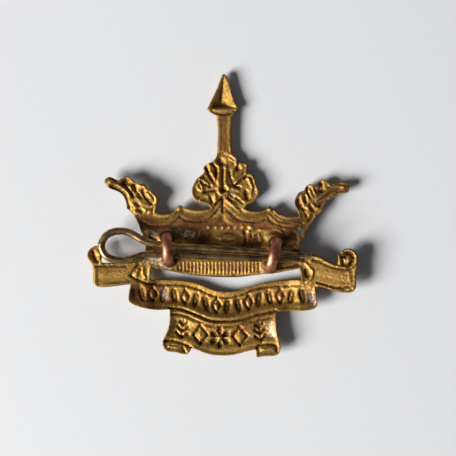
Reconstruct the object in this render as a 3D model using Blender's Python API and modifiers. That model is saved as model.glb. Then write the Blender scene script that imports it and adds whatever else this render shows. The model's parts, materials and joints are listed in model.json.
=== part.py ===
"""A cap badge lying on its face: one die-struck brass plate, two copper lugs brazed to its back,
and the brass split pin that goes through the lugs and holds the badge in a cap.

Metres, +Z up. The origin is under the middle of the badge, on the surface that it lies on.
Looking down on its back, +X is to the right and +Y points to the tip of the spear."""

import math

import bmesh
import bpy
import numpy as np
from mathutils import Matrix, Vector

MM = 0.001

# The struck plate.
BADGE_WIDTH = 46.0 * MM
BADGE_HEIGHT = 48.3 * MM
SHEET_THICKNESS = 0.8 * MM
RIM_HEIGHT = 2.2 * MM  # top of the back's rim over the ground, in the middle
END_RISE = 0.9 * MM  # how much higher the two ribbon ends stand, as the badge is bowed
PLAQUE_RISE = 0.4 * MM  # how much higher the plaque stands than the crown
LEAF_RISE = 0.65 * MM  # how far the left leaf is bent back
SCROLL_SAG = 0.75 * MM  # how much lower the scroll lies below the opening
SPEAR_FALL = 0.5 * MM  # how much lower the spear lies than the crown
HEAD_STEEPNESS = 0.5  # of the two sides of the spear's hollow head
FIELD_DEPTH = 0.7 * MM  # how far the fields are struck below the rim
RIM_SLOPE = 1.1 * MM  # width of the slope from the rim down to a field
BOSS_DEPTH = 0.9 * MM  # how far what stands highest on the front is struck below its field
BOSS_SLOPE = 0.9 * MM
CELL = 1.3 * MM  # pitch of the cuts that let the flat blank take the die's shape

# The split pin, of one wire bent double round an eye.
PIN_WIRE = 1.28 * MM
PIN_LEG_GAP = 0.07 * MM
PIN_TIP = 0.78 * MM  # thickness of a leg at its tip
PIN_UPPER_LEG = 24.3 * MM  # from the left lug to the tip
PIN_LOWER_LEG = 23.2 * MM
PIN_EYE_LENGTH = 11.3 * MM  # from the left lug to the far end of the eye, at the middle of the wire
PIN_SLANT = math.radians(-3.25)
PIN_OVER_PLATE = 0.35 * MM  # least height of the wire over the plate's highest rim

# The two lugs, each a loop of flattened wire.
LUG_WIRE = 1.15 * MM
LUG_WIRE_ACROSS = 1.75 * MM
LUG_SPACING = 17.85 * MM
LEFT_LUG_PLAY = 0.34 * MM  # room for the pin on each side
RIGHT_LUG_PLAY = 0.66 * MM
LEFT_LUG_RISE = 0.2 * MM  # how far the lug's middle stands off the pin's middle line, towards +Y
RIGHT_LUG_RISE = 0.15 * MM
LEFT_LUG_LEAN = math.radians(4.0)
RIGHT_LUG_LEAN = math.radians(-14.0)
LEFT_FOOT_INSET = 0.15 * MM  # how far a foot stands in from the loop's side
RIGHT_FOOT_INSET = 0.45 * MM
LUG_OVER_PIN = 0.25 * MM  # height of the loop's springing over the middle of the pin

# The brazed joint round each foot.
BRAZE_WIDTH = 0.45 * MM
BRAZE_HEIGHT = 0.6 * MM
BRAZE_EDGE = 0.12 * MM

JOINT_GAP = 0.05 * MM  # between pieces that touch

# The outline is drawn in millimetres at this size, and stretched to the badge's own.
DRAWN_WIDTH = 46.0
DRAWN_HEIGHT = 48.3
PIN_AXIS_POINT = (-9.25, -5.95)  # where the pin's middle line crosses the left lug, as drawn

# Counter-clockwise runs of smooth curve. The last point of each run is a sharp corner.
OUTLINE = [
    # The spear's head and shaft, left side.
    [(0.2, 24.1), (-0.3, 23.4), (-1.0, 21.5), (-1.9, 19.7), (-2.7, 18.0)],
    [(-1.9, 17.4), (-1.2, 17.05), (-1.0, 16.6)],
    [(-0.85, 15.0), (-0.8, 13.5), (-0.9, 12.0), (-1.0, 10.4), (-1.3, 9.5), (-1.9, 9.0)],
    # The palmette, left side.
    [(-2.5, 8.8), (-3.1, 8.4), (-3.3, 8.0), (-3.1, 7.5)],
    [(-3.4, 7.0), (-3.9, 6.6), (-4.5, 6.1)],
    [(-5.1, 4.9), (-5.25, 4.2), (-5.15, 3.4), (-4.9, 2.8), (-4.4, 2.4), (-3.4, 2.05), (-2.4, 1.7),
     (-2.0, 1.1)],
    # The left arches and the bead between them.
    [(-3.0, 0.85), (-4.2, 0.75), (-5.5, 0.95), (-6.85, 1.35)],
    [(-7.3, 1.75), (-7.75, 1.3)],
    [(-8.0, 0.95), (-8.6, 0.4), (-9.5, 0.1), (-10.5, 0.1), (-11.5, 0.4)],
    # The left leaf.
    [(-11.3, 1.4), (-10.85, 2.5), (-11.0, 3.0), (-11.7, 3.7), (-12.9, 4.5)],
    [(-13.0, 4.95), (-13.4, 5.35), (-14.0, 5.3)],
    [(-14.6, 5.5), (-15.7, 6.3), (-16.3, 6.65), (-16.9, 6.5), (-17.6, 5.9)],
    [(-18.3, 6.1), (-19.2, 6.5), (-19.9, 6.2), (-20.1, 5.6), (-19.6, 4.8), (-18.6, 4.3), (-17.6, 3.9),
     (-17.0, 3.4), (-16.6, 2.7), (-16.4, 2.0), (-16.3, 1.1)],
    [(-15.3, 0.3), (-15.0, -0.3), (-14.3, -1.6), (-13.9, -3.0)],
    [(-13.4, -4.0), (-13.2, -5.0), (-13.2, -6.1), (-13.0, -7.0), (-13.8, -7.9)],
    # The left ribbon and its roll.
    [(-16.0, -8.1), (-18.5, -8.15), (-20.6, -8.1)],
    [(-20.6, -7.2), (-20.4, -6.3), (-20.6, -5.6), (-21.3, -5.2), (-22.2, -5.5), (-22.8, -6.1),
     (-23.0, -6.8), (-22.8, -7.5), (-22.2, -8.4), (-22.0, -9.5), (-22.0, -11.3), (-21.7, -11.9),
     (-21.1, -12.2), (-20.0, -12.25), (-18.5, -12.1), (-17.0, -11.9), (-15.7, -11.75)],
    # The upper scroll, left end.
    [(-15.85, -12.7), (-16.0, -13.7), (-16.0, -14.4), (-15.7, -14.9), (-15.0, -15.3), (-13.0, -15.9),
     (-11.0, -16.15), (-9.05, -16.05)],
    # The lower plaque and its two rolled feet.
    [(-9.0, -17.0), (-9.1, -18.5), (-9.4, -19.6), (-9.8, -20.6), (-10.2, -21.4), (-10.2, -22.2),
     (-9.8, -22.9), (-9.2, -23.2), (-8.0, -23.3), (-6.4, -23.7), (-5.85, -23.55), (-5.3, -22.6)],
    [(-4.5, -22.85), (-3.5, -23.3), (-2.2, -23.7), (0.0, -23.9), (2.0, -23.75), (4.0, -23.2), (5.6, -22.85)],
    [(5.7, -23.5), (5.75, -24.2)],
    [(7.2, -24.0), (9.0, -23.9), (9.5, -23.6), (9.8, -23.0), (9.8, -22.2), (9.4, -20.6), (9.2, -19.5),
     (9.1, -18.3), (9.1, -17.0), (9.3, -16.4)],
    # The upper scroll, right end.
    [(11.0, -16.3), (13.0, -16.3), (15.0, -16.1), (15.7, -15.8), (16.1, -15.2), (15.9, -14.0), (15.8, -12.4)],
    # The right ribbon and its roll.
    [(16.5, -12.2), (17.4, -12.4), (18.5, -12.8), (19.8, -13.1), (21.0, -13.2), (22.1, -13.0),
     (22.6, -12.4), (22.65, -11.5), (22.7, -9.5), (23.0, -8.0), (23.0, -7.2), (22.7, -6.4),
     (22.0, -5.8), (21.3, -5.7), (20.4, -5.95), (20.0, -6.7)],
    [(19.5, -6.7)],
    [(19.6, -7.5), (19.4, -8.35)],
    [(18.0, -7.8), (17.0, -7.2), (16.0, -6.8), (15.0, -6.7), (14.1, -7.25)],
    [(13.3, -6.6), (13.1, -5.9), (13.3, -4.6), (13.9, -4.0)],
    # The right leaf.
    [(14.0, -3.3), (14.3, -2.6), (15.3, -1.1), (16.0, -0.1), (16.8, 0.5), (17.0, 1.2), (17.5, 2.2),
     (18.4, 2.7), (19.2, 3.3), (19.8, 3.6), (20.7, 3.7), (21.3, 3.9), (21.6, 4.6), (21.5, 5.2),
     (20.9, 5.6), (19.2, 5.4), (18.3, 5.2)],
    [(17.9, 5.6), (17.4, 6.0), (16.8, 6.0), (16.3, 5.5), (16.1, 4.9)],
    [(15.8, 4.9), (15.2, 5.25), (14.6, 5.2), (14.1, 4.7)],
    [(13.9, 4.2), (13.2, 4.0), (12.7, 3.5), (12.3, 2.5), (12.3, 1.8), (12.6, 1.0), (13.05, -0.2)],
    # The right arches and the bead between them.
    [(12.0, -0.3), (11.0, -0.3), (10.0, 0.0), (9.4, 0.3), (8.8, 0.9), (8.45, 1.15)],
    [(8.1, 1.6), (7.7, 1.15)],
    [(6.8, 0.7), (6.0, 0.6), (5.0, 0.6), (3.6, 1.1)],
    # The palmette, right side.
    [(4.2, 1.8), (4.9, 2.1), (5.5, 2.6), (6.0, 3.3), (6.1, 4.0), (5.7, 5.2), (5.3, 6.5), (4.8, 7.0),
     (4.1, 7.4)],
    [(4.25, 8.0), (4.15, 8.6), (3.7, 8.85), (2.3, 9.0)],
    # The spear's shaft and head, right side.
    [(2.25, 9.6), (1.75, 10.3), (1.55, 11.5), (1.5, 14.0), (1.58, 15.3), (1.65, 16.8)],
    [(2.0, 17.5), (2.75, 18.1)],
    [(2.3, 18.8), (1.75, 20.3), (1.3, 21.9), (0.9, 23.3)],
]

# The opening between the crown and the upper scroll.
SLOT = [
    [(-12.2, -8.8)],
    [(-12.35, -9.9), (-12.3, -11.0)],
    [(-10.0, -11.05), (-8.0, -11.1), (-6.0, -11.3), (-4.0, -11.75), (-2.0, -12.6), (0.0, -13.1),
     (1.0, -13.1), (2.0, -13.0), (4.0, -12.4), (5.6, -11.95), (7.0, -11.7), (10.0, -11.2), (13.35, -11.1)],
    [(13.3, -10.0), (13.1, -9.1)],
    [(11.0, -9.5), (9.0, -9.9), (7.0, -10.05), (3.0, -10.55), (0.0, -10.6), (-3.0, -10.45),
     (-7.0, -9.95), (-10.5, -9.2)],
]

# The middle of the pin's wire round its eye, from the upper leg to the lower one, drawn in
# millimetres from the left lug with X along the legs.
DRAWN_EYE_LENGTH = 11.3
EYE = [
    (-1.8, 0.85), (-2.8, 1.0), (-3.8, 1.25), (-4.85, 1.7), (-5.9, 2.25), (-6.9, 2.65), (-8.1, 2.8),
    (-9.4, 2.55), (-10.5, 1.95), (-11.1, 1.0), (-11.3, 0.1), (-10.95, -0.9), (-10.2, -1.65),
    (-9.0, -2.1), (-7.8, -2.2), (-6.65, -1.9), (-5.65, -1.6), (-4.7, -1.25), (-3.7, -0.97),
    (-2.7, -0.8), (-1.7, -0.72),
]

# What stands highest on the front, as drawn: centre and the two half sizes.
BOSSES = [
    (0.1, 4.6, 1.6, 1.6),  # the palmette's heart
    (-4.6, -4.0, 1.4, 0.8),
    (0.8, -4.0, 2.5, 1.0),  # the jewel of the circlet
    (-7.0, -20.2, 0.9, 1.2),  # the five ornaments of the plaque
    (-3.8, -20.4, 0.9, 1.2),
    (-0.6, -20.7, 0.9, 1.2),
    (3.0, -20.6, 0.9, 1.2),
    (7.0, -20.2, 0.9, 1.2),
]
HEAD_FOOT = 17.2  # where the spear's head ends and its flat shaft begins
SHAFT_FOOT = 10.6
SHAFT_HALF_WIDTH = 2.0
FALL_START = 1.5  # where the back begins to fall towards the spear's shaft
BOW_LENGTH = 5.0  # how far below the crown's leaves the bow of the ribbons is reached
PLAQUE_START = 11.0  # how far down the back begins to rise towards the plaque
PLAQUE_RISE_LENGTH = 6.0
SAG_HALF_WIDTH = 13.5
SAG_TOP, SAG_BOTTOM = 9.8, 18.5
LEAF_START = 8.0  # how far to the left the leaf begins to bend back
LEAF_BEND_LENGTH = 4.0
LEAF_BEND_HEIGHT = 3.0

BRASS = ("struck_brass", (0.42, 0.27, 0.07), 1.0, 0.42)
PIN_BRASS = ("pin_brass", (0.30, 0.21, 0.09), 1.0, 0.38)
COPPER = ("lug_copper", (0.45, 0.22, 0.13), 1.0, 0.35)
SOLDER = ("braze", (0.38, 0.33, 0.24), 1.0, 0.55)

STRETCH = np.array([BADGE_WIDTH / DRAWN_WIDTH, BADGE_HEIGHT / DRAWN_HEIGHT])
RIM_END_HEIGHT = RIM_HEIGHT + END_RISE
PIN_HEIGHT = RIM_END_HEIGHT + PIN_OVER_PLATE + PIN_WIRE / 2
PIN_PAIR = 2 * PIN_WIRE + PIN_LEG_GAP
PIN_DIRECTION = Vector((math.cos(PIN_SLANT), math.sin(PIN_SLANT), 0.0))
SPRINGING = PIN_HEIGHT + LUG_OVER_PIN
LUG_FLATNESS = LUG_WIRE_ACROSS / LUG_WIRE
PAD_HEIGHT = RIM_HEIGHT  # the plate is left flat at this height under the lugs' feet
PAD_RADIUS = LUG_FLATNESS * (LUG_WIRE / 2 + JOINT_GAP + BRAZE_WIDTH) + CELL


def clear_scene():
    for old in list(bpy.data.objects):
        bpy.data.objects.remove(old, do_unlink=True)


def make_collection(name):
    made = bpy.data.collections.new(name)
    bpy.context.scene.collection.children.link(made)
    return made


def make_material(finish):
    name, colour, metallic, roughness = finish
    material = bpy.data.materials.new(name)
    material.use_nodes = True
    shader = material.node_tree.nodes["Principled BSDF"]
    shader.inputs["Base Color"].default_value = (*colour, 1.0)
    shader.inputs["Metallic"].default_value = metallic
    shader.inputs["Roughness"].default_value = roughness
    return material


def place(x, y):
    """A drawn point, in metres on the badge."""
    return np.array([x, y]) * STRETCH


def smooth_step(share):
    share = np.clip(share, 0.0, 1.0)
    return share * share * (3.0 - 2.0 * share)


def add_run_curve(curve, runs):
    """One closed Bezier spline through the runs' points, with a corner at each run's end."""
    points = [(point, index == len(run) - 1) for run in runs for index, point in enumerate(run)]
    spline = curve.splines.new("BEZIER")
    spline.bezier_points.add(len(points) - 1)
    spline.use_cyclic_u = True
    for knot, (point, sharp) in zip(spline.bezier_points, points):
        knot.co = (*place(*point), 0.0)
        knot.handle_left_type = "VECTOR" if sharp else "AUTO"
        knot.handle_right_type = "VECTOR" if sharp else "AUTO"


def make_blank():
    """The flat blank, cut out along the outline and the slot, as a bmesh."""
    curve = bpy.data.curves.new("blank", "CURVE")
    curve.dimensions = "2D"
    curve.fill_mode = "FRONT"
    curve.resolution_u = 2
    add_run_curve(curve, OUTLINE)
    add_run_curve(curve, SLOT)
    drawn = bpy.data.objects.new("blank", curve)
    bpy.context.scene.collection.objects.link(drawn)
    graph = bpy.context.evaluated_depsgraph_get()
    mesh = bpy.data.meshes.new_from_object(drawn.evaluated_get(graph))
    bpy.data.objects.remove(drawn, do_unlink=True)
    blank = bmesh.new()
    blank.from_mesh(mesh)
    bpy.data.meshes.remove(mesh)
    bmesh.ops.remove_doubles(blank, verts=blank.verts, dist=0.01 * MM)
    straight = math.radians(1)
    bmesh.ops.dissolve_limit(blank, angle_limit=straight, verts=blank.verts, edges=blank.edges)
    return blank


def cut_cells(blank):
    """Cuts the blank along a grid of lines, so that it can take the die's shape."""
    for axis, size in ((Vector((1, 0, 0)), BADGE_WIDTH), (Vector((0, 1, 0)), BADGE_HEIGHT)):
        lines = int(size / 2 / CELL) + 1
        for line in range(-lines, lines + 1):
            whole = blank.verts[:] + blank.edges[:] + blank.faces[:]
            middle = axis * line * CELL
            bmesh.ops.bisect_plane(blank, geom=whole, dist=CELL / 20, plane_co=middle, plane_no=axis)


def distance_to_edges(points, ends):
    """How far each point lies from the nearest of the edges."""
    start, along = ends[:, 0], ends[:, 1] - ends[:, 0]
    nearest = np.full(len(points), np.inf)
    for origin, step in zip(start, along):
        offset = points - origin
        share = np.clip(offset @ step / (step @ step), 0.0, 1.0)
        nearest = np.minimum(nearest, np.linalg.norm(offset - share[:, None] * step, axis=1))
    return nearest


def lug_places():
    """Each lug's name, middle, half width of its loop, lean and inset of its feet."""
    start = place(*PIN_AXIS_POINT)
    spacing = LUG_SPACING / PIN_DIRECTION.x
    sides = (
        ("left", 0.0, LEFT_LUG_RISE, LEFT_LUG_PLAY, LEFT_LUG_LEAN, LEFT_FOOT_INSET),
        ("right", spacing, RIGHT_LUG_RISE, RIGHT_LUG_PLAY, RIGHT_LUG_LEAN, RIGHT_FOOT_INSET),
    )
    for name, along, rise, play, lean, inset in sides:
        middle = Vector((start[0], start[1] + rise, 0.0)) + PIN_DIRECTION * along
        half = PIN_PAIR / 2 + play + LUG_WIRE / 2
        yield name, middle, half, lean, inset


def foot_places():
    """Each foot's name and middle on the plate, with its lug's lean."""
    for name, middle, half, lean, inset in lug_places():
        across = Matrix.Rotation(lean, 3, "Z") @ Vector((0.0, half - inset, 0.0))
        yield f"{name}_lug_upper", middle + across, lean
        yield f"{name}_lug_lower", middle - across, lean


def back_heights(points, ends):
    """The height of the back over the ground at each point of the blank."""
    drawn = points / STRETCH
    bow = (2 * points[:, 0] / BADGE_WIDTH) ** 2 * smooth_step(-drawn[:, 1] / BOW_LENGTH)
    fall = smooth_step((drawn[:, 1] - FALL_START) / (SHAFT_FOOT - FALL_START))
    low = smooth_step((-drawn[:, 1] - PLAQUE_START) / PLAQUE_RISE_LENGTH)
    leaf = smooth_step((-drawn[:, 0] - LEAF_START) / LEAF_BEND_LENGTH)
    leaf = leaf * smooth_step(drawn[:, 1] / LEAF_BEND_HEIGHT)
    sag = smooth_step((SAG_HALF_WIDTH - abs(drawn[:, 0])) / 3.0) * smooth_step(-drawn[:, 1] - SAG_TOP)
    sag = sag * smooth_step((drawn[:, 1] + SAG_BOTTOM) / 4.0)
    rim = RIM_HEIGHT + END_RISE * bow + PLAQUE_RISE * low + LEAF_RISE * leaf
    rim = rim - SPEAR_FALL * fall - SCROLL_SAG * sag
    inside = distance_to_edges(points, ends)
    depth = FIELD_DEPTH * smooth_step(inside / RIM_SLOPE)
    head = drawn[:, 1] > HEAD_FOOT
    depth = np.where(head, HEAD_STEEPNESS * inside, depth)  # its valley is furthest from the edges
    for x, y, half_x, half_y in BOSSES:
        middle = place(x, y)
        half = np.array([half_x, half_y]) * MM
        outside = (np.linalg.norm((points - middle) / half, axis=1) - 1.0) * half.min()
        depth = depth + BOSS_DEPTH * (1.0 - smooth_step(outside / BOSS_SLOPE))
    height = np.maximum(rim - depth, SHEET_THICKNESS)
    shaft = (abs(drawn[:, 0]) < SHAFT_HALF_WIDTH) & ~head & (drawn[:, 1] > SHAFT_FOOT)
    height[shaft] = RIM_HEIGHT - SPEAR_FALL
    for _, foot, _ in foot_places():
        height[np.linalg.norm(points - np.array(foot.xy), axis=1) < PAD_RADIUS] = PAD_HEIGHT
    return height


def make_plate():
    """Strikes the blank between the dies: its front follows its back, a sheet's thickness lower."""
    plate = make_blank()
    edges = [edge for edge in plate.edges if edge.is_boundary]
    ends = np.array([[vert.co.xy for vert in edge.verts] for edge in edges])
    cut_cells(plate)
    bmesh.ops.triangulate(plate, faces=plate.faces, quad_method="BEAUTY", ngon_method="BEAUTY")
    bmesh.ops.recalc_face_normals(plate, faces=plate.faces)
    if plate.faces[0].normal.z < 0:
        bmesh.ops.reverse_faces(plate, faces=plate.faces)
    points = np.array([vert.co.xy for vert in plate.verts])
    for vert, height in zip(plate.verts, back_heights(points, ends)):
        vert.co.z = height
    front = bmesh.ops.extrude_face_region(plate, geom=plate.faces[:], use_keep_orig=True)["geom"]
    lowered = [item for item in front if isinstance(item, bmesh.types.BMVert)]
    bmesh.ops.translate(plate, verts=lowered, vec=(0.0, 0.0, -SHEET_THICKNESS))
    bmesh.ops.recalc_face_normals(plate, faces=plate.faces)
    mesh = bpy.data.meshes.new("badge_plate")
    plate.to_mesh(mesh)
    plate.free()
    return bpy.data.objects.new("badge_plate", mesh)


def make_wire(name, points, thickness, shares=None):
    """A round wire through the points, thinner where its share is less than 1."""
    curve = bpy.data.curves.new(name, "CURVE")
    curve.dimensions = "3D"
    curve.bevel_depth = thickness / 2
    curve.bevel_resolution = 4
    curve.use_fill_caps = True
    spline = curve.splines.new("POLY")
    spline.points.add(len(points) - 1)
    for index, (knot, point) in enumerate(zip(spline.points, points)):
        knot.co = (*point, 1.0)
        knot.radius = shares[index] if shares else 1.0
    return bpy.data.objects.new(name, curve)


def make_lug(name, middle, half, lean, inset):
    """A loop on two feet, drawn in its own YZ plane and flattened along X."""
    foot = PAD_HEIGHT + JOINT_GAP
    leg = [(half - inset, foot), (half - inset, PAD_HEIGHT + BRAZE_HEIGHT + LUG_WIRE / 2)]
    turns = 12
    arch = []
    for turn in range(turns + 1):
        angle = math.pi * turn / turns
        arch.append((half * math.cos(angle), SPRINGING + half * math.sin(angle)))
    outline = leg + arch + [(-y, z) for y, z in reversed(leg)]
    lug = make_wire(f"{name}_lug", [(0.0, y, z) for y, z in outline], LUG_WIRE)
    lug.location = middle
    lug.rotation_euler.z = lean
    lug.scale.x = LUG_FLATNESS
    return lug


def make_braze(name, middle, lean):
    """A ring of braze with a hollow outer slope, turned round the foot and flattened as the wire is."""
    inner = LUG_WIRE / 2 + JOINT_GAP
    profile = [(inner, BRAZE_HEIGHT), (inner + 0.3 * BRAZE_WIDTH, 0.45 * BRAZE_HEIGHT)]
    profile += [(inner + BRAZE_WIDTH, BRAZE_EDGE), (inner + BRAZE_WIDTH, JOINT_GAP), (inner, JOINT_GAP)]
    ring = bmesh.new()
    corners = [ring.verts.new((x, 0.0, z)) for x, z in profile]
    for first, second in zip(corners, corners[1:] + corners[:1]):
        ring.edges.new((first, second))
    mesh = bpy.data.meshes.new(name)
    ring.to_mesh(mesh)
    ring.free()
    braze = bpy.data.objects.new(name, mesh)
    turned = braze.modifiers.new("turned", "SCREW")
    turned.steps = 20
    turned.render_steps = 20
    turned.use_merge_vertices = True
    turned.merge_threshold = 1e-6
    braze.location = middle + Vector((0.0, 0.0, PAD_HEIGHT))
    braze.rotation_euler.z = lean
    braze.scale.x = LUG_FLATNESS
    return braze


def smooth_path(points, steps):
    """A smooth curve through flat points, with this many steps from one to the next."""
    vectors = [Vector(point) for point in points]
    vectors = [2 * vectors[0] - vectors[1], *vectors, 2 * vectors[-1] - vectors[-2]]
    path = []
    for before, start, end, after in zip(vectors, vectors[1:], vectors[2:], vectors[3:]):
        for step in range(steps):
            t = step / steps
            bend = (2 * before - 5 * start + 4 * end - after) * t * t
            bend += (3 * start - before - 3 * end + after) * t * t * t
            path.append(start + ((end - before) * t + bend) / 2)
    return path + [vectors[-2]]


def pin_leg(length, side):
    """Points along one leg from its tip to the left lug, with the wire's thickness at each."""
    taper_start = 0.4 * length
    for x in (length, (length + taper_start) / 2, taper_start, 0.0):
        share = max(0.0, (x - taper_start) / (length - taper_start))
        thickness = PIN_WIRE - (PIN_WIRE - PIN_TIP) * share
        yield Vector((x, side * (thickness + PIN_LEG_GAP) / 2)), thickness / PIN_WIRE


def make_pin():
    """The wire from the upper leg's tip, round the eye and out to the lower leg's tip.

    It is drawn with its legs along X, from where its middle line crosses the left lug."""
    upper = list(pin_leg(PIN_UPPER_LEG, 1.0))
    lower = list(pin_leg(PIN_LOWER_LEG, -1.0))[::-1]
    scale = PIN_EYE_LENGTH / DRAWN_EYE_LENGTH
    bend = [upper[-1][0]] + [Vector(point) * scale for point in EYE] + [lower[0][0]]
    eye = smooth_path(bend, 2)[1:-1]
    flat = [point for point, _ in upper] + eye + [point for point, _ in lower]
    shares = [share for _, share in upper] + [1.0] * len(eye) + [share for _, share in lower]
    pin = make_wire("cotter_pin", [(x, y, 0.0) for x, y in flat], PIN_WIRE, shares)
    pin.location = (*place(*PIN_AXIS_POINT), PIN_HEIGHT)
    pin.rotation_euler.z = PIN_SLANT
    return pin


def finish_piece(piece, collection, material):
    collection.objects.link(piece)
    piece.data.materials.append(material)
    if piece.type == "MESH":
        piece.data.shade_smooth()
        piece.data.set_sharp_from_angle(angle=math.radians(40))


def main():
    clear_scene()
    badge = make_collection("cap_badge")
    copper, solder = make_material(COPPER), make_material(SOLDER)
    finish_piece(make_plate(), badge, make_material(BRASS))
    for lug in lug_places():
        finish_piece(make_lug(*lug), badge, copper)
    for name, middle, lean in foot_places():
        finish_piece(make_braze(f"{name}_braze", middle, lean), badge, solder)
    finish_piece(make_pin(), badge, make_material(PIN_BRASS))


main()
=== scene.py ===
# %% [markdown]
# # The back of a struck cap badge
# The badge lies on its face on a pale table. It is one sheet of brass struck between two dies,
# two copper loops brazed to its back, and a brass split pin through the loops. The CAD frame
# holds their true sizes, so each step below asks the frame where its piece belongs.

# %% Load the frame
import json
import math

import bmesh
import bpy
import numpy as np
from mathutils import Matrix, Vector, noise


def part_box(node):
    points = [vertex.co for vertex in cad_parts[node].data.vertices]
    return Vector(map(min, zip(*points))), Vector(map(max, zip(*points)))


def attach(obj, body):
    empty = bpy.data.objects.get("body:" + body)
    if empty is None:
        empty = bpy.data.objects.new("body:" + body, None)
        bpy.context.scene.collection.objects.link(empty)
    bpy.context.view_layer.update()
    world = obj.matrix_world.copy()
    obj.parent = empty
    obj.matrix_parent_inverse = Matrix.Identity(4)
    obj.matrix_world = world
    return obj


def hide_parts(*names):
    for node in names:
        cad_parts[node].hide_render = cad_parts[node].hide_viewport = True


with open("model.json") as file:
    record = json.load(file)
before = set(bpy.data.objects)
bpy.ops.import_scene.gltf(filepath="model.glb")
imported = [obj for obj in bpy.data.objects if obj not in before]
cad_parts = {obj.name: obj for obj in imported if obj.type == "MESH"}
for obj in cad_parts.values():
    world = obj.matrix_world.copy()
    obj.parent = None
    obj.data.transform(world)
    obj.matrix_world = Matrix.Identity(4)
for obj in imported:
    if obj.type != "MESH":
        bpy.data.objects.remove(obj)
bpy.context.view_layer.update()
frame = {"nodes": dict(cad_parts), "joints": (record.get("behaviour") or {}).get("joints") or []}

MM = 0.001
nodes = frame["nodes"]


def middle_of(name):
    """The middle of a node's box at rest."""
    return sum(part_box(name), Vector()) / 2


print("nodes:", sorted(nodes))

# %% [markdown]
# ## Table, light and camera
# A badge this flat is read from above, so the camera looks straight down from far away with a
# long lens, which keeps the outline true. One soft lamp stands low on the left, a little below the
# badge's middle line, so that every hollow shows a bright side and a dark side and the raised
# ends throw shadows that tell their height. A dim sky keeps the shadows open.

# %% Camera
LOOK_AT = Vector((0.90 * MM, -2.20 * MM, 3.0 * MM))
CAMERA_DISTANCE = 0.30
VIEW_WIDTH = 77.4 * MM  # what the camera takes in at the badge's height
camera = bpy.data.objects.new("camera", bpy.data.cameras.new("camera"))
camera.data.sensor_width = 36.0
camera.data.lens = camera.data.sensor_width * CAMERA_DISTANCE / VIEW_WIDTH
camera.data.clip_start = 0.01
camera.data.clip_end = 10.0
camera.location = LOOK_AT + Vector((0.0, 0.0, CAMERA_DISTANCE))
bpy.context.scene.collection.objects.link(camera)
bpy.context.scene.camera = camera
bpy.context.scene.view_settings.view_transform = "Standard"
print("lens", round(camera.data.lens, 1), "mm")

# %% Light from the left


def add_area_light(name, towards_light, distance, size, watts, colour):
    """A square lamp that looks at the badge from the direction towards_light."""
    data = bpy.data.lights.new(name, "AREA")
    data.size = size
    data.energy = watts
    data.color = colour
    lamp = bpy.data.objects.new(name, data)
    direction = Vector(towards_light).normalized()
    lamp.location = LOOK_AT + direction * distance
    lamp.rotation_euler = direction.to_track_quat("Z", "Y").to_euler()
    bpy.context.scene.collection.objects.link(lamp)


LAMP_ELEVATION = math.radians(32)
LAMP_AZIMUTH = math.radians(206)
LAMP_TOWARDS = Vector((math.cos(LAMP_AZIMUTH), math.sin(LAMP_AZIMUTH), math.tan(LAMP_ELEVATION)))
add_area_light("window", LAMP_TOWARDS, distance=1.2, size=0.56, watts=26.5, colour=(1.0, 0.985, 0.965))
print("lamp from", [round(v, 2) for v in LAMP_TOWARDS.normalized()])

# %% Dim sky
SKY_STRENGTH = 0.08
world = bpy.data.worlds.new("sky")
world.use_nodes = True
sky = world.node_tree.nodes["Background"]
sky.inputs["Color"].default_value = (0.93, 0.96, 1.0, 1.0)
sky.inputs["Strength"].default_value = SKY_STRENGTH
bpy.context.scene.world = world
print("sky strength", SKY_STRENGTH)

# %% [markdown]
# ## Shader maths
# A node tree is a formula drawn as boxes. Wrapping a socket in a small class lets the formula be
# written as one: `1 - mask * 0.5` adds the Math nodes itself, in the order in which it is read.

# %% A socket that does arithmetic


class Value:
    """An output socket on which +, - and * add Math nodes."""

    def __init__(self, tree, socket):
        self.tree, self.socket = tree, socket

    def math(self, operation, first, second):
        return self.tree.node("ShaderNodeMath", {"operation": operation}, {0: first, 1: second})

    def __add__(self, other):
        return self.math("ADD", self, other)

    def __sub__(self, other):
        return self.math("SUBTRACT", self, other)

    def __rsub__(self, other):
        return self.math("SUBTRACT", other, self)

    def __mul__(self, other):
        return self.math("MULTIPLY", self, other)

    __radd__ = __add__
    __rmul__ = __mul__

    def ramp(self, low, high):
        """0 below low, 1 above high and a smooth step between."""
        settings = {"interpolation_type": "SMOOTHSTEP"}
        inputs = {"Value": self, "From Min": low, "From Max": high}
        return self.tree.node("ShaderNodeMapRange", settings, inputs)


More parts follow.
